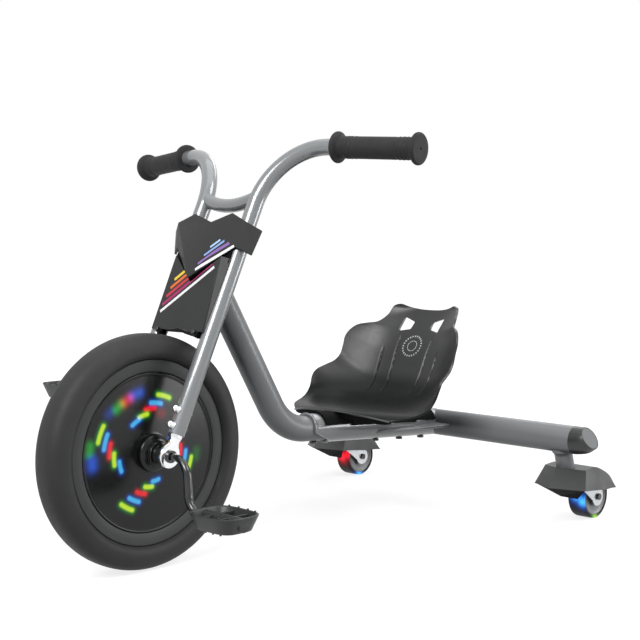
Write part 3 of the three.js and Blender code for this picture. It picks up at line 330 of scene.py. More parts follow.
def plate(outline: np.ndarray, low: float, high: float, edge: float, through: Axis) -> Shape:
    """A flat plate with rounded edges: the outline, pulled in along its own normals near both faces.

    Args:
        outline: closed loop (n, 2) in the two other axes, counter-clockwise or not.
        low: lower face along the axis that runs through the plate.
        high: upper face along it.
        edge: radius of the rounding.
        through: the axis that runs through the plate.

    Returns:
        The plate.
    """
    ahead, back = np.roll(outline, -1, 0) - outline, outline - np.roll(outline, 1, 0)
    tangent = ahead / np.linalg.norm(ahead, axis=1, keepdims=True) + back / np.linalg.norm(back, axis=1, keepdims=True)
    area = np.sum(outline[:, 0] * np.roll(outline[:, 1], -1) - np.roll(outline[:, 0], -1) * outline[:, 1])
    normal = np.stack([tangent[:, 1], -tangent[:, 0]], -1) * np.sign(area)
    normal /= np.maximum(np.linalg.norm(normal, axis=1, keepdims=True), 1e-9)
    angle = np.linspace(0, np.pi / 2, 4)[::-1]
    inset, rise = edge * (1 - np.cos(angle)), edge * (1 - np.sin(angle))
    levels = np.concatenate([low + rise, (high - rise)[::-1]])
    insets = np.concatenate([inset, inset[::-1]])
    flat = outline[None] - normal[None] * insets[:, None, None]
    parts = [flat[..., 0], flat[..., 1]]
    parts.insert(through.value, np.broadcast_to(levels[:, None], flat.shape[:2]))
    return grid_shape(np.stack(parts, -1))


def curve_through(table: np.ndarray, count: int) -> np.ndarray:
    """A smooth curve through a table's rows: a cubic between two rows, whose slope at each of them is half the
    step from the row before it to the row after it.

    Args:
        table: array (rows, columns).
        count: how many rows to return.

    Returns:
        Array (count, columns), evenly spread over the table's rows.
    """
    rows = len(table)
    t = np.linspace(0, rows - 1, count)
    i = np.minimum(t.astype(int), rows - 2)
    f = (t - i)[:, None]
    a, b = table[np.maximum(i - 1, 0)], table[i]
    c, d = table[i + 1], table[np.minimum(i + 2, rows - 1)]
    return 0.5 * (2 * b + (c - a) * f + (2 * a - 5 * b + 4 * c - d) * f**2 + (3 * b - a - 3 * c + d) * f**3)


def curve_line(table: np.ndarray, count: int) -> np.ndarray:
    """Points evenly spread along the straight runs between a table's rows, and every row itself."""
    steps = np.unique(np.concatenate([np.linspace(0, len(table) - 1, count), np.arange(len(table))]))
    return np.stack([np.interp(steps, np.arange(len(table)), column) for column in table.T], -1)


def smooth(share: np.ndarray) -> np.ndarray:
    """A soft step: three times the square less twice the cube, of a share held between 0 and 1."""
    return share * share * (3 - 2 * share)


# Materials


def linear(colour: str) -> tuple[float, float, float, float]:
    """A hex colour as linear light with full alpha, by the standard display curve.

    Args:
        colour: six hex digits.

    Returns:
        Red, green, blue and alpha.
    """
    shares = np.array([int(colour[i : i + 2], 16) / 255 for i in (0, 2, 4)])
    light = np.where(shares <= 0.04045, shares / 12.92, ((shares + 0.055) / 1.055) ** 2.4)
    return (*light.tolist(), 1.0)


class Shader:
    """A material whose nodes are added one by one, ending in one principled surface."""

    def __init__(self, name: str) -> None:
        """Start an empty material with its surface and output.

        Args:
            name: the material's name.
        """
        self.material = bpy.data.materials.new(name)
        self.material.use_nodes = True
        self.tree = self.material.node_tree
        self.tree.nodes.clear()
        self.surface = self.add("BsdfPrincipled")
        output = self.add("OutputMaterial")
        self.tree.links.new(self.surface.outputs["BSDF"], output.inputs["Surface"])

    def put(self, value: Any, socket: bpy.types.NodeSocket) -> None:
        """Set an input to a value, or link it from another node's output.

        Args:
            value: a number, a tuple or an output socket.
            socket: the input.
        """
        if isinstance(value, bpy.types.NodeSocket):
            self.tree.links.new(value, socket)
        else:
            socket.default_value = value

    def add(self, kind: str, inputs: dict[Any, Any] | None = None, **settings: Any) -> bpy.types.Node:
        """Add a shader node, set its options, and set or link its inputs.

        Args:
            kind: the node's type name after "ShaderNode".
            inputs: values or output sockets for the node's inputs, by name or number.
            settings: the node's own options.

        Returns:
            The new node.
        """
        node = self.tree.nodes.new("ShaderNode" + kind)
        for key, value in settings.items():
            setattr(node, key, value)
        for key, value in (inputs or {}).items():
            self.put(value, node.inputs[key])
        return node

    def set(self, name: str, value: Any) -> None:
        """Set or link one input of the surface."""
        self.put(value, self.surface.inputs[name])

    def math(self, operation: str, *values: Any) -> bpy.types.NodeSocket:
        """The result of one arithmetic operation on values or sockets."""
        return self.add("Math", dict(enumerate(values)), operation=operation).outputs[0]

    def dot(self, first: Any, second: Any) -> bpy.types.NodeSocket:
        """The dot product of two vectors or vector sockets."""
        return self.add("VectorMath", {0: first, 1: second}, operation="DOT_PRODUCT").outputs["Value"]

    def place(self, name: str = "Object") -> bpy.types.NodeSocket:
        """The place on the object, or its normal."""
        return self.add("TexCoord").outputs[name]

    def noise(self, size: float, detail: float) -> bpy.types.NodeSocket:
        """Noise of about one grain to each size in millimetres, in object coordinates."""
        inputs = {"Vector": self.place(), "Scale": 1 / (size * METRE), "Detail": detail}
        return self.add("TexNoise", inputs).outputs["Fac"]

    def spread(self, value: Any, low: float, high: float) -> bpy.types.NodeSocket:
        """Map noise from its middle range, 0.3 to 0.7, to low and high."""
        inputs = {"Value": value, "From Min": 0.3, "From Max": 0.7, "To Min": low, "To Max": high}
        return self.add("MapRange", inputs).outputs["Result"]

    def ramp(self, value: Any, start: float, end: float, low: float, high: float) -> bpy.types.NodeSocket:
        """Rise smoothly from low at the start to high at the end."""
        inputs = {"Value": value, "From Min": start, "From Max": end, "To Min": low, "To Max": high}
        return self.add("MapRange", inputs, interpolation_type="SMOOTHSTEP").outputs["Result"]

    def blend(self, share: Any, first: Any, second: Any) -> bpy.types.NodeSocket:
        """Mix two colours by a share.

        Args:
            share: how much of the second colour there is.
            first: a colour or a colour socket.
            second: another.

        Returns:
            The mixed colour.
        """
        node = self.add("Mix", data_type="RGBA")
        for name, value in (("Factor_Float", share), ("A_Color", first), ("B_Color", second)):
            self.put(value, next(s for s in node.inputs if s.identifier == name))
        return next(s for s in node.outputs if s.identifier == "Result_Color")

    def paint(self, share: Any, colour: str) -> None:
        """Paint a colour over the surface's own, where the share is 1."""
        under = self.surface.inputs["Base Color"].links[0].from_socket
        self.set("Base Color", self.blend(share, under, linear(colour)))

    def bump(self, height: Any, depth: float) -> bpy.types.NodeSocket:
        """A normal that follows a height of 0 to 1, which stands for a depth in millimetres."""
        inputs = {"Height": height, "Distance": depth * METRE, "Strength": 1.0}
        return self.add("Bump", inputs).outputs["Normal"]


@dataclass(frozen=True)
class Finish:
    """A surface finish: a colour that varies a little, a varying roughness and a fine grain.

    The mottle is the colour's swing to each side and the roughness swings by its own share; the
    grain is a depth. Their sizes, and the flakes' size, are millimetres.
    """

    name: str
    slot: str
    colour: str
    roughness: float
    metallic: float = 0.0
    coat: float = 0.0
    coat_roughness: float = 0.08
    coat_index: float = 1.5
    mottle: float = 0.06
    mottle_size: float = 30.0
    roughness_swing: float = 0.06
    grain: float = 0.0
    grain_size: float = 1.2
    specular: float = 0.5
    sparkle: float = 0.0
    flake_size: float = 0.5
    flake_share: float = 0.5

    def shader(self) -> Shader:
        """Noise for the colour and the roughness, cells for the flakes, and a bump for the grain.

        Returns:
            The finish's nodes.
        """
        shader = Shader(self.name + "_look")
        base = np.array(linear(self.colour))
        dark, light = base * (1 - self.mottle), base * (1 + self.mottle)
        dark[3] = light[3] = 1
        broad = shader.spread(shader.noise(self.mottle_size, 4), 0, 1)
        colour = shader.blend(broad, tuple(dark), tuple(np.minimum(light, 1)))
        if self.sparkle:
            flake = shader.add("TexVoronoi", {"Vector": shader.place(), "Scale": 1 / (self.flake_size * METRE)})
            share = shader.math("MULTIPLY", flake.outputs["Color"], self.flake_share)
            colour = shader.blend(share, colour, tuple(np.minimum(base * (1 + self.sparkle), 1)))
        low, high = (self.roughness * (1 + sign * self.roughness_swing) for sign in (-1, 1))
        shader.set("Base Color", colour)
        shader.set("Roughness", shader.spread(shader.noise(self.mottle_size / 4, 2), low, high))
        for name, value in (("Metallic", self.metallic), ("Coat Weight", self.coat),
                            ("Coat Roughness", self.coat_roughness), ("Coat IOR", self.coat_index),
                            ("Specular IOR Level", self.specular)):
            shader.set(name, value)
        if self.grain:
            shader.set("Normal", shader.bump(shader.noise(self.grain_size, 2), self.grain))
        return shader

    def material(self) -> bpy.types.Material:
        """The finish as a material, made once."""
        return bpy.data.materials.get(self.name + "_look") or self.shader().material


@dataclass(frozen=True)
class GlowFinish(Finish):
    """A finish whose glow comes from the mesh's own colour values."""

    def shader(self) -> Shader:
        """The plain finish with the glow added as light of its own.

        Returns:
            The finish's nodes.
        """
        shader = super().shader()
        shader.set("Emission Color", shader.add("Attribute", attribute_name="glow").outputs["Color"])
        shader.set("Emission Strength", 1.0)
        return shader


class Look:
    """The finishes of the trike that more than one piece has, or that are plain."""

    BAR = Finish("bar_silver", "bar_paint", "787b7d", 0.4, metallic=0.2, coat=0.9, coat_roughness=0.1, coat_index=1.7,
                 mottle=0.03, mottle_size=60, specular=0.15, sparkle=0.06)
    FRAME = Finish("frame_grey", "frame_paint", "77797b", 0.42, metallic=0.15, coat=0.16, coat_roughness=0.14,
                   mottle=0.03, mottle_size=60, specular=0.12, sparkle=0.06)
    WELDED = replace(FRAME, name="welded_grey", roughness=0.4, coat=0.7, coat_roughness=0.12, coat_index=1.6)
    CHROME = Finish("chrome_plate", "chrome", "e4e5e6", 0.07, metallic=1.0, mottle=0.02, grain=0.004, grain_size=3)
    STEEL = Finish("zinc_steel", "steel", "b9bcbe", 0.32, metallic=0.9, mottle_size=12, grain=0.01)
    BLACK_STEEL = Finish("black_steel", "black_steel", "0d0e0f", 0.25, coat=0.5, coat_roughness=0.1, mottle=0.15,
                         mottle_size=15, specular=0.4)
    # Painted shade: a near-black matt finish that pieces sitting in shadow, under or behind others, take in place of
    # their own colour. Its copies keep the slots of the nodes that they dress.
    SHADED = Finish("shaded_black", "satin_plastic", "0a0a0b", 0.8, specular=0.08)
    SHADED_CROWN = replace(SHADED, slot="bar_paint")
    SHADED_STEERER = replace(SHADED, slot="steel")
    SHADED_BRACKET = replace(SHADED, slot="black_steel")
    RUBBER = Finish("grip_rubber", "rubber", "222223", 0.72, mottle=0.12, grain=0.05, grain_size=0.7, specular=0.3)
    TYRE = Finish("tyre_rubber", "tyre_rubber", "272728", 0.6, mottle=0.1, grain=0.05, grain_size=0.8, specular=0.3)
    RIM = Finish("rim_plastic", "rim_plastic", "383939", 0.5, grain=0.03, grain_size=0.8, specular=0.3)
    SATIN = Finish("satin_plastic", "satin_plastic", "282929", 0.42, mottle=0.08, grain=0.03, grain_size=0.7,
                   specular=0.4)
    CAP = Finish("cap_plastic", "gloss_plastic", "1b1c1d", 0.34, mottle=0.1, grain=0.01, specular=0.6)
    CAP_FACE = Finish("cap_face", "cap_face_plastic", "6b6d6e", 0.5, grain=0.03, grain_size=0.6, specular=0.3)
    DISC = GlowFinish("disc_gloss", "gloss_plastic", "080909", 0.24, mottle=0.2, specular=0.3)
    CASTER_RUBBER = GlowFinish("caster_rubber", "rubber", "141415", 0.5, mottle=0.1, grain=0.02, specular=0.2)
    CASTER_CORE = Finish("caster_core", "light_plastic", "77797b", 0.35, mottle=0.05)


# Pieces

# Points nearer than this, in metres, become one: in the shapes made here, and in a CAD node's loose triangles.
SAME_POINT = 2e-6
SAME_CAD_POINT = 1e-5
FLAT_ENOUGH = math.radians(0.5)


def add_piece(
    name: str,
    shape: Shape,
    finish: Finish,
    body: Body,
    replaces: Sequence[str] = (),
    crease: float = 35.0,
) -> bpy.types.Object:
    """Make a mesh object of a shape, dress it, and let it ride on its body.

    Args:
        name: the piece's name.
        shape: its points in millimetres, and its faces.
        finish: its surface finish.
        body: the body that it moves with.
        replaces: the CAD nodes that it stands for.
        crease: the angle in degrees above which an edge stays sharp.

    Returns:
        The object.
    """
    mesh = bpy.data.meshes.new(name)
    mesh.from_pydata((shape.points * METRE).tolist(), [], shape.faces)
    if shape.glow is not None:
        values = mesh.attributes.new("glow", "FLOAT_COLOR", "POINT")
        values.data.foreach_set("color", np.ascontiguousarray(shape.glow, np.float32).ravel())
    bm = bmesh.new()
    bm.from_mesh(mesh)
    bmesh.ops.remove_doubles(bm, verts=bm.verts, dist=SAME_POINT)
    bmesh.ops.recalc_face_normals(bm, faces=bm.faces)
    bm.to_mesh(mesh)
    bm.free()
    mesh.shade_smooth()
    mesh.set_sharp_from_angle(angle=math.radians(crease))
    return mounted(name, mesh, finish, body, replaces)


def mounted(
    name: str, mesh: bpy.types.Mesh, finish: Finish, body: Body, replaces: Sequence[str]
) -> bpy.types.Object:
    """Put a finished mesh in the scene as a piece of a body.

    Args:
        name: the piece's name.
        mesh: its mesh, in metres.
        finish: its surface finish.
        body: the body that it moves with.
        replaces: the CAD nodes that it stands for.

    Returns:
        The object.
    """
    mesh.materials.clear()
    mesh.materials.append(finish.material())
    piece = bpy.data.objects.new(name, mesh)
    bpy.context.scene.collection.objects.link(piece)
    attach(piece, body.value)
    if replaces:
        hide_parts(*replaces)
    LOG.info("%s: %d faces on %s", name, len(mesh.polygons), body.value)
    return piece


def bevelled(node: str, finish: Finish, body: Body, width: float, crease: float = 30.0) -> bpy.types.Object:
    """A copy of a CAD node with merged points and bevelled edges, in place of the node.

    Args:
        node: the CAD node.
        finish: its surface finish.
        body: the body that it moves with.
        width: the bevel's width in millimetres.
        crease: edges that turn more than this many degrees are bevelled.

    Returns:
        The object.
    """
    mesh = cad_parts[node].data.copy()
    bm = bmesh.new()
    bm.from_mesh(mesh)
    bmesh.ops.remove_doubles(bm, verts=bm.verts, dist=SAME_CAD_POINT)
    bmesh.ops.dissolve_limit(bm, angle_limit=FLAT_ENOUGH, verts=bm.verts, edges=bm.edges)
    bm.to_mesh(mesh)
    bm.free()
    mesh.shade_smooth()
    mesh.set_sharp_from_angle(angle=math.radians(crease))
    piece = mounted(node + "_dressed", mesh, finish, body, [node])
    edge = piece.modifiers.new("edges", "BEVEL")
    edge.width, edge.segments = width * METRE, 2
    edge.limit_method, edge.angle_limit = "ANGLE", math.radians(crease)
    edge.use_clamp_overlap = True
    return piece


# Sub-assemblies

AXLE = Place((0.0, -278.8, 152.4))
FORK = Place((0.0, -278.8, 152.4), -24.7)
SHIFT = Place((0.0, -278.8, 0.0))


class Light(Enum):
    """The lights' colours: the bright core and the halo round it, in linear light."""

    BLUE = ((0.05, 0.40, 0.75), (0.01, 0.07, 0.50))
    GREEN = ((0.50, 0.72, 0.02), (0.01, 0.36, 0.03))
    RED = ((0.74, 0.008, 0.022), (0.32, 0.002, 0.01))


@dataclass(frozen=True)
class Streak:
    """One light smeared along a circle: its radius, its angle up from the front, its softness and half length.

    A softness of 2 or more has a halo alone.
    """

    radius: float
    angle: float
    light: Light
    soft: float = 1.0
    level: float = 1.0
    half: float = 7.4


@dataclass
class FrontWheel:
    """Tyre, rim, the two glowing covers, their collars, and the crank."""

    radius: float = 152.4
    half_width: float = 25.5
    bulge: float = 127.65
    shoulder_power: float = 0.72
    cheek: Table = ((106.3, 12.1), (120.2, 12.1), (120.2, 17.3), (123.5, 23.4))
    cheek_round: float = 2.5
    rim_side: Table = (
        (98, 11.4), (103.6, 11.4), (103.6, 15.4), (105.0, 16.7), (111.0, 17.3), (119.0, 17.4), (119.9, 16.6),
        (119.9, 12.4), (106, 12.4))
    boss: Table = (
        (5.4, 39), (12.4, 39), (13, 38.2), (13, 36.8), (16.2, 36.6), (17, 35.8), (17, 34.4), (15.6, 33.8),
        (15.6, 32.6), (17, 32.2), (17.2, 30.6), (16.2, 30), (19.5, 29.4), (23.6, 27.4), (24.6, 25.4), (24.6, 18.6))
    lip: Table = (
        (99.6, 14.7), (100.6, 15.9), (102.2, 16.1), (103.1, 15.2), (103.1, 11.7), (22, 15.3), (19, 0.15), (5.4, 0.15))
    edge_round: float = 0.7
    lip_round: float = 0.5
    dish_inner: float = 26.5
    dish_outer: float = 98.5
    dish_side: float = 18.2
    dish_depth: float = 3.6
    collar_ring: Table = (
        (5.4, 39.3), (5.4, 49), (9.6, 49), (10.5, 47.6), (10.5, 43.6), (9.8, 42.8), (9.8, 39.3))
    crank_radius: float = 4.8
    crank_swell: float = 0.9
    crank_bend: float = 24.0
    swell_middle: float = 92.0
    swell_half: float = 12.0
    throw: float = 65.0
    arm_foot: float = 88.0
    arm_end: float = 93.0
    pin_end: float = 191.2
    streak_half: float = 1.5
    streak_fade: float = 2.6
    halo_width: float = 4.3
    glow_from: float = 14.0
    tyre_sides: int = 160
    disc_sides: int = 300
    collar_sides: int = 64
    crank_sides: int = 32
    shoulder_points: int = 22
    dish_points: int = 64
    bend_points: int = 16
    streaks: tuple[Streak, ...] = (
        Streak(48, 60, Light.BLUE), Streak(50.5, 76, Light.GREEN), Streak(57, 89, Light.RED),
        Streak(64, 98, Light.BLUE), Streak(74.5, 107, Light.GREEN),
        Streak(50, -14, Light.BLUE), Streak(57.5, -2, Light.GREEN), Streak(64.5, 9, Light.RED),
        Streak(73, 17, Light.BLUE), Streak(83, 22.5, Light.GREEN),
        Streak(37.5, -100, Light.BLUE), Streak(44, -84, Light.GREEN), Streak(53, -72, Light.RED),
        Streak(64, -65, Light.BLUE), Streak(76, -60, Light.GREEN),
        Streak(34, 160, Light.BLUE), Streak(40, 172, Light.GREEN), Streak(48, -178, Light.RED),
        Streak(57, -168.5, Light.BLUE), Streak(68, -161, Light.GREEN),
        Streak(80, 74, Light.BLUE, 2.2, 0.95, 4.6), Streak(79, 62.5, Light.RED, 2.0, 1.7, 3.4),
        Streak(80, 52, Light.GREEN, 2.0, 0.8, 3.4), Streak(84, 42.5, Light.BLUE, 2.0, 0.4, 1.8),
        Streak(93, 8.5, Light.GREEN, 2.2, 0.7, 3.0), Streak(89, -2.5, Light.BLUE, 3.2, 1.0, 2.2),
        Streak(52, 108, Light.RED, 2.2, 0.4, 2.5), Streak(76, -172, Light.GREEN, 2.4, 0.25, 3.0),
    )

    def glow(self, points: np.ndarray) -> np.ndarray:
        """Each streak's core is full inside its half width and fades smoothly; its halo fades as a bell curve.

        Args:
            points: array (n, 3) about the axle.

        Returns:
            Colours (n, 4) of the light at each point.
        """
        radius = np.hypot(points[:, 1], points[:, 2])
        angle = np.degrees(np.arctan2(points[:, 2], -points[:, 1]))
        total = np.zeros((len(points), 3))
        for streak in self.streaks:
            turn = np.abs((angle - streak.angle + 180) % 360 - 180)
            along = np.maximum(turn - streak.half, 0) * np.pi / 180 * streak.radius
            away = np.hypot(along, radius - streak.radius)
            core = smooth(1 - np.clip((away - self.streak_half) / (self.streak_fade * streak.soft), 0, 1))
            core = core * (1 if streak.soft < 2 else 0)
            halo = np.exp(-((away / (self.halo_width * streak.soft**0.5)) ** 2)) * streak.level
            bright, dim = (np.array(colour) for colour in streak.light.value)
            total = np.maximum(total, core[:, None] * bright + (1 - core)[:, None] * halo[:, None] * dim)
        total[np.abs(points[:, 0]) < self.glow_from] = 0
        return np.concatenate([total, np.ones((len(points), 1))], 1)

    def tyre(self) -> Shape:
        """A squarish quarter round on each side of the tread, down to the bead in the rim's channel.

        The quarter round runs by a power of the sine upwards and of the cosine sideways.

        Returns:
            The ring, about the axle.
        """
        angle = np.linspace(0, np.pi / 2, self.shoulder_points)
        rise = (self.radius - self.bulge) * np.sin(angle) ** self.shoulder_power
        side = self.half_width * np.cos(angle) ** self.shoulder_power
        shoulder = np.stack([self.bulge + rise, side], -1)
        cheek = rounded([*self.cheek, shoulder[0]], self.cheek_round, closed=False, steps=5)
        half = np.concatenate([cheek, shoulder[1:]])
        whole = both_ways(half)
        return turned(np.delete(whole, len(half), 0), Axis.X, self.tyre_sides)

    def rim(self) -> Shape:
        """A flange beside the tyre, a dark groove inside it, and a ledge under the cover."""
        return turned(both_ways(rounded(self.rim_side, self.edge_round, closed=False)), Axis.X, self.tyre_sides)

    def cover_disc(self) -> Shape:
        """A shallow dish with a raised lip at its edge and a stepped boss at its middle, on the left side.

        Returns:
            The disc, with the colour of the light at each point.
        """
        boss = rounded(self.boss, self.edge_round, closed=False, steps=3)
        reach = np.linspace(self.dish_inner, self.dish_outer, self.dish_points)
        share = (reach - self.dish_inner) / (self.dish_outer - self.dish_inner)
        dish = np.stack([reach, self.dish_side - self.dish_depth * share], -1)
        lip = rounded(self.lip, self.lip_round, closed=False, steps=3)
        disc = turned(np.concatenate([boss, dish, lip]), Axis.X, self.disc_sides)
        disc.glow = self.glow(disc.points)
        return disc

    def collar(self) -> Shape:
        """A polished ring between the boss and the fork end."""
        return turned(rounded(self.collar_ring, self.lip_round), Axis.X, self.collar_sides)

    def crank(self) -> Shape:
        """One bent rod, its left arm down and its right arm up, a little thicker at the arms.

        Returns:
            The rod, about the axle.
        """
        left = [[self.arm_foot, 0, 0], [self.arm_end, 0, -self.throw], [self.pin_end, 0, -self.throw]]
        right = [[-x, y, -z] for x, y, z in reversed(left)]
        path = bent([*right, *left], self.crank_bend, self.bend_points)
        near = 1 - np.abs(np.abs(path[:, 0]) - self.swell_middle) / self.swell_half
        radius = self.crank_radius + self.crank_swell * smooth(np.clip(near, 0, 1))
        return swept(path, radius, self.crank_sides)

    def build(self) -> None:
        """Make the wheel's pieces about the axle."""
        body = Body.FRONT_WHEEL
        add_piece("tyre_round", self.tyre().moved(AXLE), Look.TYRE, body, ["tyre"])
        add_piece("rim_round", self.rim().moved(AXLE), Look.RIM, body, ["wheel_rim"])
        add_piece("crank_round", self.crank().moved(AXLE), Look.BLACK_STEEL, body, ["crank"])
        for side in Side:
            disc, ring = self.cover_disc().on_side(side), self.collar().on_side(side)
            add_piece(f"cover_glow_{side.word}", disc.moved(AXLE), Look.DISC, body, [f"wheel_cover_{side.word}"])
            add_piece(f"collar_round_{side.word}", ring.moved(AXLE), Look.CHROME, body, [f"axle_collar_{side.word}"])


@dataclass
class Pedal:
    """A moulded open cage with cross ribs, a barrel and small studs, about its own middle.

    A stud stands at a share of the half length, and across at the half width times
    (1 - share ** the curve's first power) ** its second.
    """

    inner: float = 119.0
    length: float = 80.0
    width: float = 66.0
    height: float = 20.0
    draft: float = 8.0
    wall: float = 4.0
    wall_round: float = 1.4
    power: float = 0.55
    points_round: int = 120
    first_angle: float = 0.01
    rib_half: float = 1.6
    rib_drop: float = 3.2
    rib_inset: float = 4.5
    rib_draft: float = 5.0
    rib_round: float = 0.6
    barrel_radius: float = 8.6
    barrel_inner_inset: float = 2.0
    barrel_outer_inset: float = 3.0
    barrel_round: float = 0.8
    stud_shares: tuple[float, ...] = (-0.62, -0.22, 0.22, 0.62)
    stud_curve: tuple[float, float] = (3.4, 0.3)
    stud_inset: float = 2.0
    stud_radius: float = 1.3
    stud_root: float = 1.5
    stud_height: float = 1.7
    stud_round: float = 0.6
    stud_sides: int = 12

    def plan(self, inset: np.ndarray, height: np.ndarray) -> np.ndarray:
        """A superellipse for each inset: half sizes times a power of cosine and sine.

        Args:
            inset: how far each ring lies inside the outline.
            height: the height of each ring.

        Returns:
            Points (rings, points round, 3).
        """
        angle = np.linspace(0, 2 * np.pi, self.points_round, endpoint=False) + self.first_angle
        c, s = np.cos(angle), np.sin(angle)
        x = (self.length / 2 - inset)[:, None] * np.sign(c) * np.abs(c) ** self.power
        y = (self.width / 2 - inset)[:, None] * np.sign(s) * np.abs(s) ** self.power
        return np.stack([x, y, np.broadcast_to(height[:, None], x.shape)], -1)

    def cage(self) -> Shape:
        """The outer wall, leaning inwards as it goes down: each point of its section is one ring of the plan.

        Returns:
            The wall, closed on itself.
        """
        half, lean = self.height / 2, self.draft
        section = [[0, half], [lean, -half], [lean + self.wall, -half], [self.wall, half]]
        loop = rounded(section, self.wall_round, steps=5)
        return grid_shape(self.plan(loop[:, 0], loop[:, 1]), wrap_rows=True)

    def inside(self) -> list[Shape]:
        """Two cross ribs at the thirds of the length, and the barrel round the crank's end.

        Returns:
            The ribs and the barrel.
        """
        top, reach = self.height / 2 - self.rib_drop, self.width / 2 - self.rib_inset
        foot = reach - self.rib_draft
        outline = np.array([[-reach, top], [reach, top], [foot, -top], [-foot, -top]])
        cell, end = self.length / 3, self.length / 2
        ribs = [plate(outline, x - self.rib_half, x + self.rib_half, self.rib_round, Axis.X)
                for x in (cell - end, 2 * cell - end)]
        start, stop = self.barrel_inner_inset - end, end - self.barrel_outer_inset
        return [*ribs, rod(self.barrel_radius, [start, 0, 0], [stop, 0, 0], self.barrel_round)]

    def studs(self) -> list[Shape]:
        """Small pegs along the long edges, above and below.

        Returns:
            The pegs.
        """
        pegs = []
        bow, flat = self.stud_curve
        for edge, inset in ((1, self.stud_inset), (-1, self.draft + self.stud_inset)):
            z = edge * self.height / 2
            for share in self.stud_shares:
                x = share * (self.length / 2 - inset)
                for hand in (-1, 1):
                    y = hand * (self.width / 2 - inset) * (1 - abs(share) ** bow) ** flat
                    root, tip = [x, y, z - edge * self.stud_root], [x, y, z + edge * self.stud_height]
                    pegs.append(rod(self.stud_radius, root, tip, self.stud_round, self.stud_sides))
        return pegs

    def build(self) -> None:
        """Make both pedals: the right one is turned half round, and its arm is up."""
        whole = joined([self.cage(), *self.inside(), *self.studs()])
        for side, body in ((Side.LEFT, Body.LEFT_PEDAL), (Side.RIGHT, Body.RIGHT_PEDAL)):
            hand = side.value
            turned_round = Shape(whole.points * np.array([hand, hand, 1]), whole.faces)
            place = turned_round.shifted(hand * (self.inner + self.length / 2), 0, -hand * FrontWheel.throw)
            add_piece(f"pedal_cage_{side.word}", place.moved(AXLE), Look.SATIN, body, [f"pedal_{side.word}"])


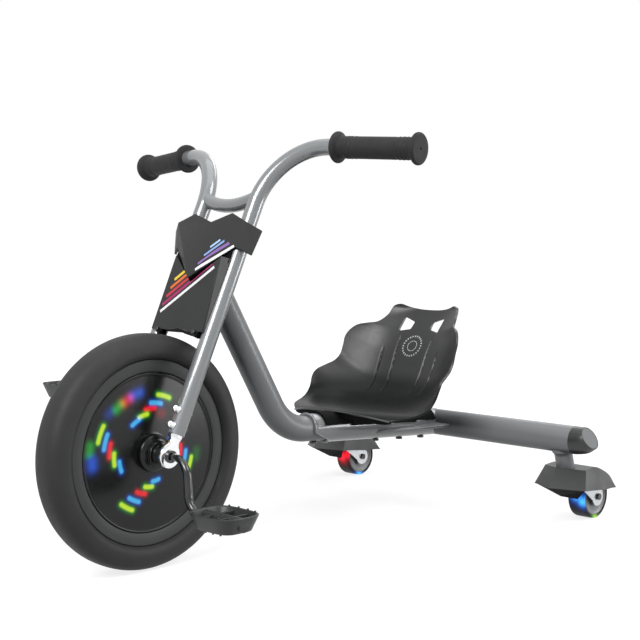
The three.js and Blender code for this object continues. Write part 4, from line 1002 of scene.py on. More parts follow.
@dataclass
class Fork:
    """The legs that run on as handlebars, and what is fixed to them, about the axle and the steering axis."""

    leg: float = 11.1
    spread: float = 52.8
    bottom: float = 28.0
    height: float = 439.2
    bend: float = 90.0
    reach: float = 222.8
    sweep: float = 10.0
    rise: float = 3.3
    bar: float = 9.5
    bar_height: float = 364.0
    bar_in_leg: float = 3.0
    sag: float = 13.0
    leg_sides: int = 96
    bend_points: int = 56
    bar_sides: int = 72
    bar_points: int = 40
    grip_length: float = 127.0
    grip_radius: float = 14.8
    grip_overhang: float = 4.3
    grip_inner: Table = ((11.4, 0), (19.1, 0), (20.7, 1.8), (20.7, 4.2), (18.9, 6), (14.8, 8.5))
    grip_outer: Table = (
        (14.8, -8.5), (19.5, -6), (20.7, -4.6), (20.7, -2), (18.9, 0), (1.2, 0), (1.2, -4), (11.4, -4))
    grip_round: float = 1.2
    ring_start: float = 12.0
    ring_pitch: float = 6.0
    ring_depth: float = 0.35
    ring_steepness: float = 4.0
    bare_half: float = 30.0
    ring_points: int = 60
    grip_sides: int = 72
    end_half: Table = (
        (10.2, 27.6), (8.4, 23.5), (7.2, 19.8), (8.4, 15.6), (12.2, 10.4), (15.2, 4.0), (15.3, -3.0),
        (12.4, -9.3), (6.6, -14.0), (0.0, -15.5))
    end_half_wall: float = 3.5
    end_points: int = 48
    end_round: float = 1.4
    plug_radius: float = 9.1
    plug_bottom: float = 24.0
    plug_top: float = 72.0
    bushing_ring: Table = (
        (5.3, 49.4), (5.3, 61.0), (7.0, 61.0), (8.2, 59.6), (8.6, 56.7), (8.3, 56.6), (8.3, 49.4))
    bushing_round: float = 0.35
    bushing_sides: int = 48
    bolt_heights: tuple[float, float] = (38.0, 59.0)
    bolt_round: float = 0.4
    bolt_sink: float = 0.6
    washer_radius: float = 5.9
    washer_height: float = 1.4
    nut_radius: float = 4.7
    nut_height: float = 4.4
    nut_open: float = 0.06
    nut_sides: int = 40
    axis_gap: float = 0.001
    shank_radius: float = 2.5
    shank_sides: int = 20
    head_radius: float = 3.4
    head_sink: float = 0.4
    head_height: float = 2.6
    head_round: float = 0.8
    head_sides: int = 28

    @property
    def bar_foot(self) -> np.ndarray:
        """Where the left leg's two straight runs would meet."""
        return np.array([self.spread, 0, self.height])

    @property
    def bar_end(self) -> np.ndarray:
        """The outer end of the left handlebar."""
        turn = math.radians(self.sweep)
        return self.bar_foot + [self.reach * math.cos(turn), self.reach * math.sin(turn), self.rise]

    def leg_rod(self) -> Shape:
        """One tube from the fork end to the grip."""
        corners = [[self.spread, 0, self.bottom], self.bar_foot, self.bar_end]
        return swept(bent(corners, self.bend, self.bend_points), self.leg, self.leg_sides)

    def crossbar(self) -> Shape:
        """A bar that sags on a parabola between the legs.

        Returns:
            The bar.
        """
        t = np.linspace(-1, 1, self.bar_points)
        span = self.spread + self.bar_in_leg
        path = np.stack([t * span, 0 * t, self.bar_height - self.sag * (1 - t**2)], -1)
        return swept(path, self.bar, self.bar_sides)

    def grip(self) -> Shape:
        """A sleeve with a flange at each end, shallow rings between them and a vent in its end.

        The rings are a sine along the grip, steepened and cut off at its depth, and left out at the middle.

        Returns:
            The grip along Z, from its inner end.
        """
        length = self.grip_length
        inner = rounded(self.grip_inner, self.grip_round, closed=False)
        outer = rounded(np.array(self.grip_outer) + [0, length], self.grip_round, closed=False)
        along = np.linspace(self.ring_start, length - self.ring_start, self.ring_points)
        wave = np.clip(np.sin(along * 2 * np.pi / self.ring_pitch) * self.ring_steepness, -1, 1)
        ripple = self.ring_depth * wave * (np.abs(along - length / 2) > self.bare_half)
        middle = np.stack([self.grip_radius + ripple - self.ring_depth, along], -1)
        return turned(np.concatenate([inner, middle, outer]), Axis.Z, self.grip_sides)

    def fork_end(self) -> Shape:
        """A blade with a waist below the leg and a ring round the axle, on a plug in the leg.

        Returns:
            The left fork end.
        """
        half = curve_through(np.array(self.end_half), self.end_points)
        outline = np.concatenate([half, (half * [-1, 1])[::-1][1:]])
        inner, outer = self.spread - self.end_half_wall, self.spread + self.end_half_wall
        blade = plate(outline, inner, outer, self.end_round, Axis.X)
        foot, top = [self.spread, 0, self.plug_bottom], [self.spread, 0, self.plug_top]
        plug = rod(self.plug_radius, foot, top, self.bolt_round)
        return joined([blade, plug])

    def bushing(self) -> Shape:
        """A bushing round the crank, on the outer face of the fork end."""
        return turned(rounded(self.bushing_ring, self.bushing_round), Axis.X, self.bushing_sides)

    def leg_bolt(self) -> Shape:
        """A washer and a domed nut in front of the leg, on a shank that runs through it.

        It is turned about Z, and then tilted so that it looks forwards. The dome's profile stops just
        short of its top and the washer's starts just off the axis, so that the ring closes on itself.

        Returns:
            The bolt, about the leg's middle line.
        """
        face, radius = self.leg - self.bolt_sink, self.nut_radius
        dome = np.linspace(0, np.pi / 2 - self.nut_open, 12)
        nut = np.stack([radius * np.cos(dome), face + self.nut_height + radius * np.sin(dome)], -1)
        rim, seat = self.washer_radius, face + self.washer_height
        corners = [[self.axis_gap, face], [rim, face], [rim, seat], [radius, seat + 0.1]]
        washer = rounded(corners, self.bolt_round, closed=False)
        cap = turned(np.concatenate([washer, nut]), Axis.Z, self.nut_sides)
        shank = rod(self.shank_radius, [0, 0, -self.leg], [0, 0, face + 1], self.bolt_round, self.shank_sides)
        return joined([cap, shank]).moved(Place(tilt=90.0))

    def bolt_end(self) -> Shape:
        """The bolt's round head behind the leg."""
        root, tip = [0, self.leg - self.head_sink, 0], [0, self.leg + self.head_height, 0]
        return rod(self.head_radius, root, tip, self.head_round, self.head_sides)

    def build(self) -> None:
        """Make the fork's round pieces, and bevel its crowns."""
        heading = self.bar_end - self.bar_foot
        grip_start = self.bar_end + heading / self.reach * (self.grip_overhang - self.grip_length)
        pairs = (
            ("leg_round", "fork_leg", self.leg_rod(), Look.BAR),
            ("grip_ringed", "grip", self.grip().aimed(grip_start, heading), Look.RUBBER),
            ("fork_end", "dropout", self.fork_end(), Look.CHROME),
            ("bushing_round", "axle_bushing", self.bushing(), Look.BLACK_STEEL),
        )
        for side in Side:
            word = side.word
            for name, node, shape, finish in pairs:
                add_piece(f"{name}_{word}", shape.on_side(side).moved(FORK), finish, Body.FORK, [f"{node}_{word}"])
            for height, level in zip(self.bolt_heights, ("lower", "upper")):
                bolt = self.leg_bolt().shifted(side.value * self.spread, 0, height)
                end = self.bolt_end().shifted(side.value * self.spread, 0, height)
                add_piece(f"bolt_domed_{word}_{level}", bolt.moved(FORK), Look.CHROME, Body.FORK,
                          [f"leg_bolt_{word}_{level}"])
                add_piece(f"bolt_end_{word}_{level}", end.moved(FORK), Look.BLACK_STEEL, Body.FORK)
            bevelled(f"panel_screw_{word}", Look.BLACK_STEEL, Body.FORK, width=0.4)
        add_piece("crossbar_round", self.crossbar().moved(FORK), Look.BAR, Body.FORK, ["crossbar"])
        # The lower crown and the steerer take the painted shade finish for the shadow behind the shield, in place of
        # their own paint and steel.
        for node, finish in (("lower_crown", Look.SHADED_CROWN), ("upper_crown", Look.BAR),
                             ("steerer", Look.SHADED_STEERER), ("steerer_nut", Look.BLACK_STEEL)):
            bevelled(node, finish, Body.FORK, width=0.7)


@dataclass
class MainFrame:
    """The head tube, the bent main tube, the sleeve, the cross tube with its caps, and the caster posts.

    Distances along Y are measured back from the front axle.
    """

    tube: float = 19.05
    bend: float = 84.0
    start: tuple[float, float] = (111.9, 376.5)
    corner: tuple[float, float] = (246.8, 153.4)
    tube_end: float = 545.0
    tube_sides: int = 72
    bend_points: int = 40
    end_round: float = 0.6
    cross_y: float = 590.0
    cross_z: float = 131.2
    cross_radius: float = 20.8
    cross_end: float = 271.0
    drop: float = 3.7
    sleeve_radius: float = 21.6
    sleeve_front: float = 293.0
    sleeve_rings: tuple[float, ...] = (400.0, 500.0, 592.0)
    sleeve_sides: int = 96
    mouth: Table = (
        (19.4, 30), (19.4, 0.3), (20.2, 0), (21.9, 0.1), (23.0, 0.9), (23.2, 2.1), (22.9, 3.3), (22.0, 4.3),
        (21.65, 5.4), (21.6, 9))
    scoop: float = 38.0
    scoop_start: float = 0.1
    scoop_span: float = 0.85
    cap_tilt: float = 31.0
    cap_face: float = 11.0
    cap_neck: float = 16.1
    cap_lap: float = 0.3
    cap_fullness: float = 0.55
    cap_sides: int = 72
    cap_points: int = 20
    cap_plug: float = 14.0
    plug_share: float = 0.85
    rim_width: float = 0.9
    disc_seat: float = 1.3
    seat_gap: float = 1.1
    disc_wall: float = 1.4
    disc_round: float = 0.4
    disc_gap: float = 1.2
    post_x: float = 246.0
    post_radius: float = 13.5
    post_start: float = 8.0
    post_length: float = 49.0
    post_points: int = 28
    post_sides: int = 48
    flare: float = 3.2
    flare_start: float = 17.0
    flare_fade: float = 4.5
    rake: float = 18.0

    @property
    def cross_middle(self) -> tuple[float, float, float]:
        """The middle of the cross tube."""
        return (0.0, self.cross_y, self.cross_z)

    @property
    def nose_x(self) -> float:
        """How far out the middle of the left cap's round nose lies."""
        return self.cross_end + self.cap_neck - self.cap_lap

    @property
    def cut_heading(self) -> np.ndarray:
        """The direction in which the left cap's slanting cut looks."""
        tilt = math.radians(self.cap_tilt)
        return np.array([math.cos(tilt), 0, math.sin(tilt)])

    @property
    def cut_radius(self) -> float:
        """The radius of the cut's edge: the root of the nose's radius squared less the cut's distance squared."""
        return math.sqrt(self.cross_radius**2 - self.cap_face**2)

    def rear_height(self, y: float | np.ndarray) -> float | np.ndarray:
        """The height of the rear run's middle line at a distance behind the front axle."""
        return self.cross_z + (self.cross_y - y) * math.tan(math.radians(self.drop))

    def main_rod(self) -> Shape:
        """The sloping run, the bend and the rear run, as one tube."""
        corners = [[0, *self.start], [0, *self.corner], [0, self.tube_end, self.rear_height(self.tube_end)]]
        return swept(bent(corners, self.bend, self.bend_points), self.tube, self.tube_sides)

    def sleeve(self) -> Shape:
        """A tube whose mouth has a rolled bead and is cut back below.

        The mouth's place along the tube is a smooth step of the angle round it, from the front edge
        above to the scoop's end below. The whole is then tilted about the cross tube.

        Returns:
            The sleeve.
        """
        angle = np.linspace(0, 2 * np.pi, self.sleeve_sides, endpoint=False)
        low = smooth(np.clip((-np.sin(angle) - self.scoop_start) / self.scoop_span, 0, 1))
        front = self.sleeve_front + self.scoop * low
        rings = [(radius, front + along) for radius, along in self.mouth]
        rings += [(self.sleeve_radius, np.full(len(angle), end)) for end in self.sleeve_rings]
        rows = [np.stack([radius * np.cos(angle), along, radius * np.sin(angle)], -1) for radius, along in rings]
        straight = grid_shape(np.stack(rows)).shifted(0, -self.cross_y)
        return straight.moved(Place(self.cross_middle, -self.drop))

    def end_cap(self) -> Shape:
        """A round nose cut by a slanting plane.

        Each point lies on a straight line from the cut's edge to the tube's end, pushed out onto the
        cylinder before the nose's middle and onto the sphere beyond it.

        Returns:
            The left cap.
        """
        normal, edge, radius = self.cut_heading, self.cut_radius, self.cross_radius
        upward = np.array([-normal[2], 0, normal[0]])
        angle = np.linspace(0, 2 * np.pi, self.cap_sides, endpoint=False)[:, None]
        ring = upward * np.sin(angle) + np.array([0, 1, 0]) * np.cos(angle)
        cut = normal * self.cap_face + edge * ring
        neck = np.full(angle.shape, self.cap_lap - self.cap_neck)
        foot = np.concatenate([neck, radius * np.cos(angle), radius * np.sin(angle)], 1)
        t = np.linspace(0, 1, self.cap_points)[:, None, None]
        line = (1 - t) * cut + t * foot
        on_ball = line / np.linalg.norm(line, axis=-1, keepdims=True) * radius
        flat = line * [0, 1, 1]
        on_tube = flat / np.linalg.norm(flat, axis=-1, keepdims=True) * radius + line * [1, 0, 0]
        bulge = np.where(line[..., :1] > 0, on_ball, on_tube)
        surface = line + (bulge - line) * (self.cap_fullness + (1 - self.cap_fullness) * t**3)
        seat = normal * (self.cap_face - self.disc_seat) + (edge - self.seat_gap) * ring
        rim = normal * self.cap_face + (edge - self.rim_width) * ring
        plug = surface[-1:] * [1, self.plug_share, self.plug_share] - [self.cap_plug, 0, 0]
        rows = np.concatenate([seat[None], rim[None], surface, plug])
        return grid_shape(rows).shifted(self.nose_x, self.cross_y, self.cross_z)

    def cap_disc(self) -> Shape:
        """The flat round face let into the slanting cut.

        Returns:
            The left cap's disc.
        """
        start, normal = np.array([self.nose_x, self.cross_y, self.cross_z]), self.cut_heading
        back, front = start + normal * (self.cap_face - self.disc_wall), start + normal * self.cap_face
        return rod(self.cut_radius - self.disc_gap, back, front, self.disc_round, self.cap_sides)

    def post(self) -> Shape:
        """A raked post that flares where it meets the cross tube: its radius falls off as a bell curve.

        Returns:
            The left post.
        """
        lean = math.radians(self.rake)
        heading = np.array([0, math.sin(lean), -math.cos(lean)])
        along = np.linspace(self.post_start, self.post_length, self.post_points)
        beyond = np.maximum(along - self.flare_start, 0) / self.flare_fade
        path = np.array([self.post_x, self.cross_y, self.cross_z]) + along[:, None] * heading
        return swept(path, self.post_radius + self.flare * np.exp(-(beyond**2)), self.post_sides)

    def build(self) -> None:
        """Make the frame's tubes, then bevel its plates and bolts."""
        add_piece("main_round", self.main_rod().moved(SHIFT), Look.FRAME, Body.FRAME, ["main_tube"])
        add_piece("sleeve_beaded", self.sleeve().moved(SHIFT), Look.WELDED, Body.FRAME, ["rear_sleeve"])
        ends = [[-self.cross_end, self.cross_y, self.cross_z], [self.cross_end, self.cross_y, self.cross_z]]
        cross = rod(self.cross_radius, *ends, self.end_round, self.tube_sides)
        add_piece("cross_round", cross.moved(SHIFT), Look.FRAME, Body.FRAME, ["cross_tube"])
        pairs = (
            ("cap_round", "end_cap", self.end_cap(), Look.CAP),
            ("cap_disc", "end_cap_face", self.cap_disc(), Look.CAP_FACE),
            ("post_round", "caster_post", self.post(), Look.FRAME),
        )
        for side in Side:
            word = side.word
            for name, node, shape, finish in pairs:
                add_piece(f"{name}_{word}", shape.on_side(side).moved(SHIFT), finish, Body.FRAME, [f"{node}_{word}"])
            bevelled(f"gusset_{word}", Look.WELDED, Body.FRAME, width=1.0)
        # The seat bracket takes the painted shade finish for the shadow under the seat.
        finishes = {"head_tube": Look.FRAME, "headset_cup_lower": Look.BLACK_STEEL,
                    "headset_cup_upper": Look.BLACK_STEEL, "seat_bracket": Look.SHADED_BRACKET}
        finishes.update({f"frame_bolt_{number}": Look.BLACK_STEEL for number in (1, 2, 3, 4)})
        for node, finish in finishes.items():
            bevelled(node, finish, Body.FRAME, width=0.5)


@dataclass(frozen=True)
class SeatFinish(Finish):
    """Moulded plastic with a plain printed ring of short dashes on the front of the back rest.

    The print's sizes, its middle and the heights between which the painted shade on the pan gives way are millimetres.
    """

    middle: tuple[float, float, float] = (-3.5, 260.0, 258.0)
    lean: float = 22.0
    ring: tuple[float, float] = (8.8, 0.5)
    band: tuple[float, float] = (17.5, 1.4)
    dashes: int = 24
    facing: float = 0.5
    print_colour: str = "b8b9ba"
    pan_shade_low: float = 192.0
    pan_shade_high: float = 222.0
    pan_shade_specular: float = 0.14

    def shader(self) -> Shader:
        """The ring is drawn by distance from its middle, and the dashes by the sine of the angle round it.

        The reflection is held weak low on the pan, which paints shade there, and rises to full with the height.

        Returns:
            The finish's nodes.
        """
        shader = super().shader()
        turn = math.radians(self.lean)
        up, out = (0.0, math.sin(turn), math.cos(turn)), (0.0, -math.cos(turn), math.sin(turn))
        middle = tuple(value * METRE for value in self.middle)
        offset = shader.add("VectorMath", {0: shader.place(), 1: middle}, operation="SUBTRACT").outputs["Vector"]
        across, rise = shader.dot(offset, (1.0, 0.0, 0.0)), shader.dot(offset, up)
        squares = [shader.math("MULTIPLY", part, part) for part in (across, rise)]
        reach = shader.math("SQRT", shader.math("ADD", *squares))
        ring, band = (
            shader.math("LESS_THAN", shader.math("ABSOLUTE", shader.math("SUBTRACT", reach, radius * METRE)),
                        half * METRE)
            for radius, half in (self.ring, self.band))
        beats = shader.math("MULTIPLY", shader.math("ARCTAN2", rise, across), float(self.dashes))
        dash = shader.math("MULTIPLY", band, shader.math("GREATER_THAN", shader.math("SINE", beats), 0.0))
        front = shader.math("GREATER_THAN", shader.dot(shader.place("Normal"), out), self.facing)
        shader.paint(shader.math("MULTIPLY", shader.math("MAXIMUM", ring, dash), front), self.print_colour)
        # Painted shade: a weaker reflection below darkens the pan.
        height = shader.add("SeparateXYZ", {0: shader.place()}).outputs["Z"]
        low, high = self.pan_shade_low * METRE, self.pan_shade_high * METRE
        shader.set("Specular IOR Level", shader.ramp(height, low, high, self.pan_shade_specular, self.specular))
        return shader


SEAT_LOOK = SeatFinish("seat_moulding", "seat_plastic", "111212", 0.37, mottle=0.08, grain=0.02, grain_size=0.9,
                       specular=0.55)


@dataclass
class Seat:
    """The bucket seat: a folded sheet with four grooves up its back, two windows, horns and a rolled nose.

    The centre and edge tables run from the front edge to the top in shares of the depth and the rise, and
    the edge's first column is a share of the half width. A groove is its place across, its lean per row
    of the tables, and the rows where it starts and ends. The carrier is the frame under the seat.
    """

    front: float = 348.0
    depth: float = 236.0
    floor: float = 169.0
    rise: float = 156.0
    half: float = 131.0
    wall: float = 3.6
    fold: float = 2.6
    rows: int = 180
    columns: int = 221
    sheet_crease: float = 60.0
    crease: float = 50.0
    edge_round: float = 1.1
    grooves: tuple[tuple[float, float, float, float], ...] = ((30.0, 0.8, 6.0, 12.6), (55.0, 0.6, 5.6, 11.2))
    groove_depth: float = 1.7
    groove_half: float = 1.25
    groove_middle: float = 9.0
    groove_fade_in: float = 0.9
    groove_fade_out: float = 0.7
    horn_radius: float = 12.0
    horn_edges: tuple[float, float] = (206.5, -42.0)
    horn_points: int = 24
    horn_waste: Table = ((5.4, 5.9), (0.0, 14.0), (-3.6, 7.2))
    nose_drop: float = 5.0
    nose_rows: float = 1.3
    skirt: float = 9.0
    skirt_wall: float = 2.4
    skirt_slope: float = 2.5
    skirt_end: float = 0.995
    skirt_power: int = 6
    skirt_shift: Point = (0.0, 1.2, -1.5)
    skirt_least: float = 0.5
    bead_radius: float = 1.3
    bead_shift: Point = (0.0, -0.2, -1.0)
    bead_sides: int = 16
    tube_gap: float = 1.2
    # A near-black sheet on the sleeve that paints the seat's shadow: its inner and outer radius, its half angle round
    # the top, its points and the places of its rows.
    shade_inner: float = 0.3
    shade_outer: float = 3.2
    shade_angle: float = 74.0
    shade_points: int = 60
    shade_rows: tuple[float, ...] = (316.0, 317.0, 440.0, 568.0)
    carrier: MainFrame = field(default_factory=MainFrame)
    centre: Table = (
        (0, 0.051), (0.114, 0.042), (0.263, 0.035), (0.39, 0.035), (0.483, 0.045), (0.551, 0.064),
        (0.602, 0.096), (0.644, 0.135), (0.678, 0.183), (0.708, 0.253), (0.742, 0.353), (0.784, 0.494),
        (0.831, 0.615), (0.881, 0.718), (0.928, 0.801), (0.962, 0.862), (0.983, 0.901), (0.998, 0.929),
    )
    edge: Table = (
        (0.75, 0.09, -0.006), (0.917, 0.178, 0), (0.97, 0.297, 0.051), (0.985, 0.356, 0.135), (1, 0.39, 0.25),
        (0.985, 0.428, 0.314), (0.947, 0.5, 0.359), (0.91, 0.559, 0.397), (0.887, 0.602, 0.462),
        (0.88, 0.627, 0.558), (0.88, 0.648, 0.647), (0.842, 0.678, 0.718), (0.774, 0.716, 0.769),
        (0.677, 0.763, 0.788), (0.594, 0.818, 0.804), (0.534, 0.881, 0.872), (0.504, 0.919, 0.955), (0.444, 0.936, 1),
    )
    window: Table = ((0.311, 0.851), (0.138, 0.803), (0.147, 0.732), (0.306, 0.709))
    window_shift: float = -2.2
    window_round: float = 2.2
    tool_length: float = 700.0
    tool_round: float = 0.01

    def surface(self) -> np.ndarray:
        """The upper surface: each row bends from its middle point to its edge point by |across| ** fold.

        The front edge then sinks by the nose's drop times the square of the rows' share still to go.

        Returns:
            The points (rows, columns, 3).
        """
        middle = curve_through(np.array(self.centre), self.rows)
        side = curve_through(np.array(self.edge), self.rows)
        across = np.linspace(-1, 1, self.columns)[None]
        bend = np.abs(across) ** self.fold
        x = across * side[:, :1] * self.half
        y = self.front + (middle[:, :1] + (side[:, 1:2] - middle[:, :1]) * bend) * self.depth
        z = self.floor + (middle[:, 1:] + (side[:, 2:] - middle[:, 1:]) * bend) * self.rise
        z = z - self.nose_drop * np.clip(1 - self.row_places() / self.nose_rows, 0, 1) ** 2
        return np.stack([x, y, z], -1)

    def row_places(self) -> np.ndarray:
        """Each row's place in the tables, as a column."""
        return np.linspace(0, len(self.centre) - 1, self.rows)[:, None]

    def pressed(self, points: np.ndarray) -> np.ndarray:
        """How deep each point is pressed in: a bell across each groove, faded at both of its ends.

        Args:
            points: the surface's points (rows, columns, 3).

        Returns:
            The depths (rows, columns).
        """
        row, across = self.row_places(), np.abs(points[..., 0])
        total = np.zeros(across.shape)
        for place, lean, low, high in self.grooves:
            away = (across - place - lean * (row - self.groove_middle)) / self.groove_half
            start = np.clip((row - low) / self.groove_fade_in, 0, 1)
            end = np.clip((high - row) / self.groove_fade_out, 0, 1)
            total += np.exp(-(away**2)) * smooth(start * end)
        return self.groove_depth * total

    def sheet(self) -> Shape:
        """The upper surface with its grooves pressed in along its own normals. A modifier gives it its wall.

        Returns:
            The open sheet.
        """
        points = self.surface()
        normal = np.cross(np.gradient(points, axis=1), np.gradient(points, axis=0))
        normal /= np.linalg.norm(normal, axis=-1, keepdims=True)
        upper = points - normal * self.pressed(points)[..., None]
        near = np.arange(self.rows - 1)[:, None] * self.columns + np.arange(self.columns - 1)[None]
        far = near + self.columns
        quads = np.stack([near, near + 1, far + 1, far], -1)
        return Shape(upper.reshape(-1, 3), quads.reshape(-1, 4).tolist())

    def tube_top(self, x: np.ndarray, y: np.ndarray) -> np.ndarray:
        """Just above the sleeve's upper side, a half circle in X, or above its middle line beside it."""
        half_circle = np.sqrt(np.maximum(self.carrier.sleeve_radius**2 - x**2, 0))
        return self.carrier.rear_height(y) + half_circle + self.tube_gap

    def nose_skirt(self) -> Shape:
        """A lip that hangs from the front edge, cut off above the sleeve, in the finish that paints the shade under
        the seat's nose.

        Its depth is the root of 1 less a power of the share across.

        Returns:
            The lip.
        """
        edge = self.surface()[0]
        taper = np.sqrt(1 - np.linspace(-self.skirt_end, self.skirt_end, len(edge)) ** self.skirt_power)
        top = edge + self.skirt_shift
        foot = top + taper[:, None] * [0, self.skirt_slope, -self.skirt]
        limit = np.minimum(self.tube_top(foot[:, 0], foot[:, 1]), top[:, 2] - self.skirt_least)
        foot[:, 2] = np.maximum(foot[:, 2], limit)
        back = [0, self.skirt_wall, 0]
        return grid_shape(np.stack([top, foot, foot + back, top + back], 1))

    def bead(self) -> Shape:
        """A thin rounded bead along the front edge."""
        return swept(self.surface()[0][::4] + self.bead_shift, self.bead_radius, self.bead_sides)

    def shade_sheet(self) -> Shape:
        """A dark sheet on the sleeve that paints the seat's shadow, from ahead of the seat back to the cross tube.

        Each row is an arc at the sheet's outer radius and one back at its inner radius.

        Returns:
            The sheet.
        """
        angle = np.radians(np.linspace(-self.shade_angle, self.shade_angle, self.shade_points))
        radius = self.carrier.sleeve_radius
        arcs = ((radius + self.shade_outer, angle), (radius + self.shade_inner, angle[::-1]))
        loop = np.concatenate([np.stack([r * np.sin(a), r * np.cos(a)], -1) for r, a in arcs])
        y = np.array(self.shade_rows)
        size = (len(y), len(loop))
        x, along = np.broadcast_to(loop[None, :, 0], size), np.broadcast_to(y[:, None], size)
        return grid_shape(np.stack([x, along, self.carrier.rear_height(y)[:, None] + loop[None, :, 1]], -1))

    def build(self) -> None:
        """Make the sheet, give it its wall, cut its windows and horns, and round the edges."""
        # The skirt's near-black finish paints the shade under the seat's nose.
        add_piece("seat_skirt", self.nose_skirt().moved(SHIFT), Look.SHADED, Body.FRAME)
        add_piece("seat_bead", self.bead().moved(SHIFT), Look.CAP, Body.FRAME)
        # The sheet on the sleeve is painted shade for the seat's shadow.
        add_piece("seat_shade_sheet", self.shade_sheet().moved(SHIFT), Look.SHADED, Body.FRAME)
        piece = add_piece("seat_sheet", self.sheet().moved(SHIFT), SEAT_LOOK, Body.FRAME, ["seat_shell"],
                          self.sheet_crease)
        self.face_up(piece.data)
        cutters = [tool for hand in (-1, 1) for tool in (self.window_tool(hand), self.horn_tool(hand))]
        wall = piece.modifiers.new("wall", "SOLIDIFY")
        wall.thickness, wall.offset = self.wall * METRE, -1
        for tool in cutters:
            hole = piece.modifiers.new("opening", "BOOLEAN")
            hole.object, hole.solver = tool, "EXACT"
        graph = bpy.context.evaluated_depsgraph_get()
        mesh = bpy.data.meshes.new_from_object(piece.evaluated_get(graph))
        piece.modifiers.clear()
        piece.data = mesh
        mesh.shade_smooth()
        mesh.set_sharp_from_angle(angle=math.radians(self.crease))
        for tool in cutters:
            bpy.data.objects.remove(tool)
        edge = piece.modifiers.new("edges", "BEVEL")
        edge.width, edge.segments, edge.angle_limit = self.edge_round * METRE, 3, math.radians(self.crease)

    def face_up(self, mesh: bpy.types.Mesh) -> None:
        """Turn the open sheet over if its faces look down.

        Args:
            mesh: the sheet's mesh.
        """
        normals = np.zeros(len(mesh.polygons) * 3, np.float32)
        mesh.polygons.foreach_get("normal", normals)
        if normals.reshape(-1, 3)[:, 2].mean() < 0:
            mesh.flip_normals()

    def window_tool(self, hand: int) -> bpy.types.Object:
        """A rounded bar along Y that cuts one window: hand is 1 for the left and -1 for the right."""
        corners = [[hand * a * self.half + self.window_shift, self.floor + b * self.rise] for a, b in self.window]
        return self.bar_tool(rounded(corners, self.window_round, steps=5))

    def horn_tool(self, hand: int) -> bpy.types.Object:
        """A bar along Y that rounds one horn: the corner between its two edges less a circle that touches both.

        The circle's middle halves the corner, at its radius over the sine of half the angle.

        Args:
            hand: 1 for the left, -1 for the right.

        Returns:
            The bar.
        """
        tip = np.array([self.edge[-1][0] * self.half, self.floor + self.edge[-1][2] * self.rise])
        inward, outward = np.radians(self.horn_edges)
        first, second = (np.array([math.cos(a), math.sin(a)]) for a in (inward, outward))
        half_angle = math.acos(float(first @ second)) / 2
        middle = tip + (first + second) / np.linalg.norm(first + second) * self.horn_radius / math.sin(half_angle)
        turn = np.linspace(inward - math.pi / 2, outward + math.pi / 2, self.horn_points)
        arc = middle + self.horn_radius * np.stack([np.cos(turn), np.sin(turn)], -1)
        far = np.stack([arc[-1], tip, arc[0]]) + np.array(self.horn_waste)
        return self.bar_tool(np.concatenate([arc, far]) * [hand, 1])

    def bar_tool(self, outline: np.ndarray) -> bpy.types.Object:
        """A bar along Y with an outline in X and Z, to cut the sheet with.

        Args:
            outline: closed loop (n, 2).

        Returns:
            The bar, which is removed once the sheet is cut.
        """
        shape = plate(outline, 0, self.tool_length, self.tool_round, Axis.Y).moved(SHIFT)
        mesh = bpy.data.meshes.new("cutting_tool")
        mesh.from_pydata((shape.points * METRE).tolist(), [], shape.faces)
        bm = bmesh.new()
        bm.from_mesh(mesh)
        bmesh.ops.recalc_face_normals(bm, faces=bm.faces)
        bm.to_mesh(mesh)
        bm.free()
        tool = bpy.data.objects.new("cutting_tool", mesh)
        bpy.context.scene.collection.objects.link(tool)
        return tool


@dataclass(frozen=True)
class Stripe:
    """A painted bar: where it starts and ends along the slant, where it lies across it, and its colour."""

    start: float
    end: float
    low: float
    high: float
    colour: str


@dataclass(frozen=True)
class StripedFinish(Finish):
    """A plastic with slanted bars printed on the front of the shield."""

    slant: float = 38.0
    facing: float = 0.4
    stripes: tuple[Stripe, ...] = ()

    def shader(self) -> Shader:
        """Each bar is where both slanted coordinates lie between its limits and the surface looks forwards.

        Returns:
            The finish's nodes.
        """
        shader = super().shader()
        turn, lean = math.radians(self.slant), math.radians(-FORK.tilt)
        up = (0.0, math.sin(lean), math.cos(lean))
        along = self.distance(shader, math.cos(turn), math.sin(turn), up)
        aside = self.distance(shader, -math.sin(turn), math.cos(turn), up)
        front = shader.math("GREATER_THAN", shader.dot(shader.place("Normal"), (0.0, -up[2], up[1])), self.facing)
        for stripe in self.stripes:
            inside = front
            for value, low, high in ((along, stripe.start, stripe.end), (aside, stripe.low, stripe.high)):
                for test, limit in (("GREATER_THAN", low), ("LESS_THAN", high)):
                    inside = shader.math("MULTIPLY", inside, shader.math(test, value, limit * METRE))
            shader.paint(inside, stripe.colour)
        return shader

    def distance(self, shader: Shader, x: float, rise: float, up: Point) -> bpy.types.NodeSocket:
        """Distance along a slanted direction in the shield's plane, from the front axle: a dot product.

        Args:
            shader: the finish's nodes.
            x: the direction's share across.
            rise: its share up the shield.
            up: the shield's own upward direction.

        Returns:
            The distance in metres.
        """
        heading = (x, rise * up[1], rise * up[2])
        offset = -rise * (FORK.origin[1] * up[1] + FORK.origin[2] * up[2]) * METRE
        return shader.math("ADD", shader.dot(shader.place(), heading), offset)


def slanted(
    starts: Sequence[float], ends: Sequence[float], low: float, pitch: float, width: float, colours: Sequence[str]
) -> tuple[Stripe, ...]:
    """Parallel bars, one above another at a pitch.

    Args:
        starts: where each bar starts along the slant.
        ends: where each bar ends.
        low: the lower edge of the first bar.
        pitch: the step from bar to bar.
        width: the width of each bar.
        colours: the bars' colours.

    Returns:
        The bars.
    """
    rows = zip(starts, ends, colours)
    return tuple(Stripe(a, b, low + k * pitch, low + k * pitch + width, c) for k, (a, b, c) in enumerate(rows))


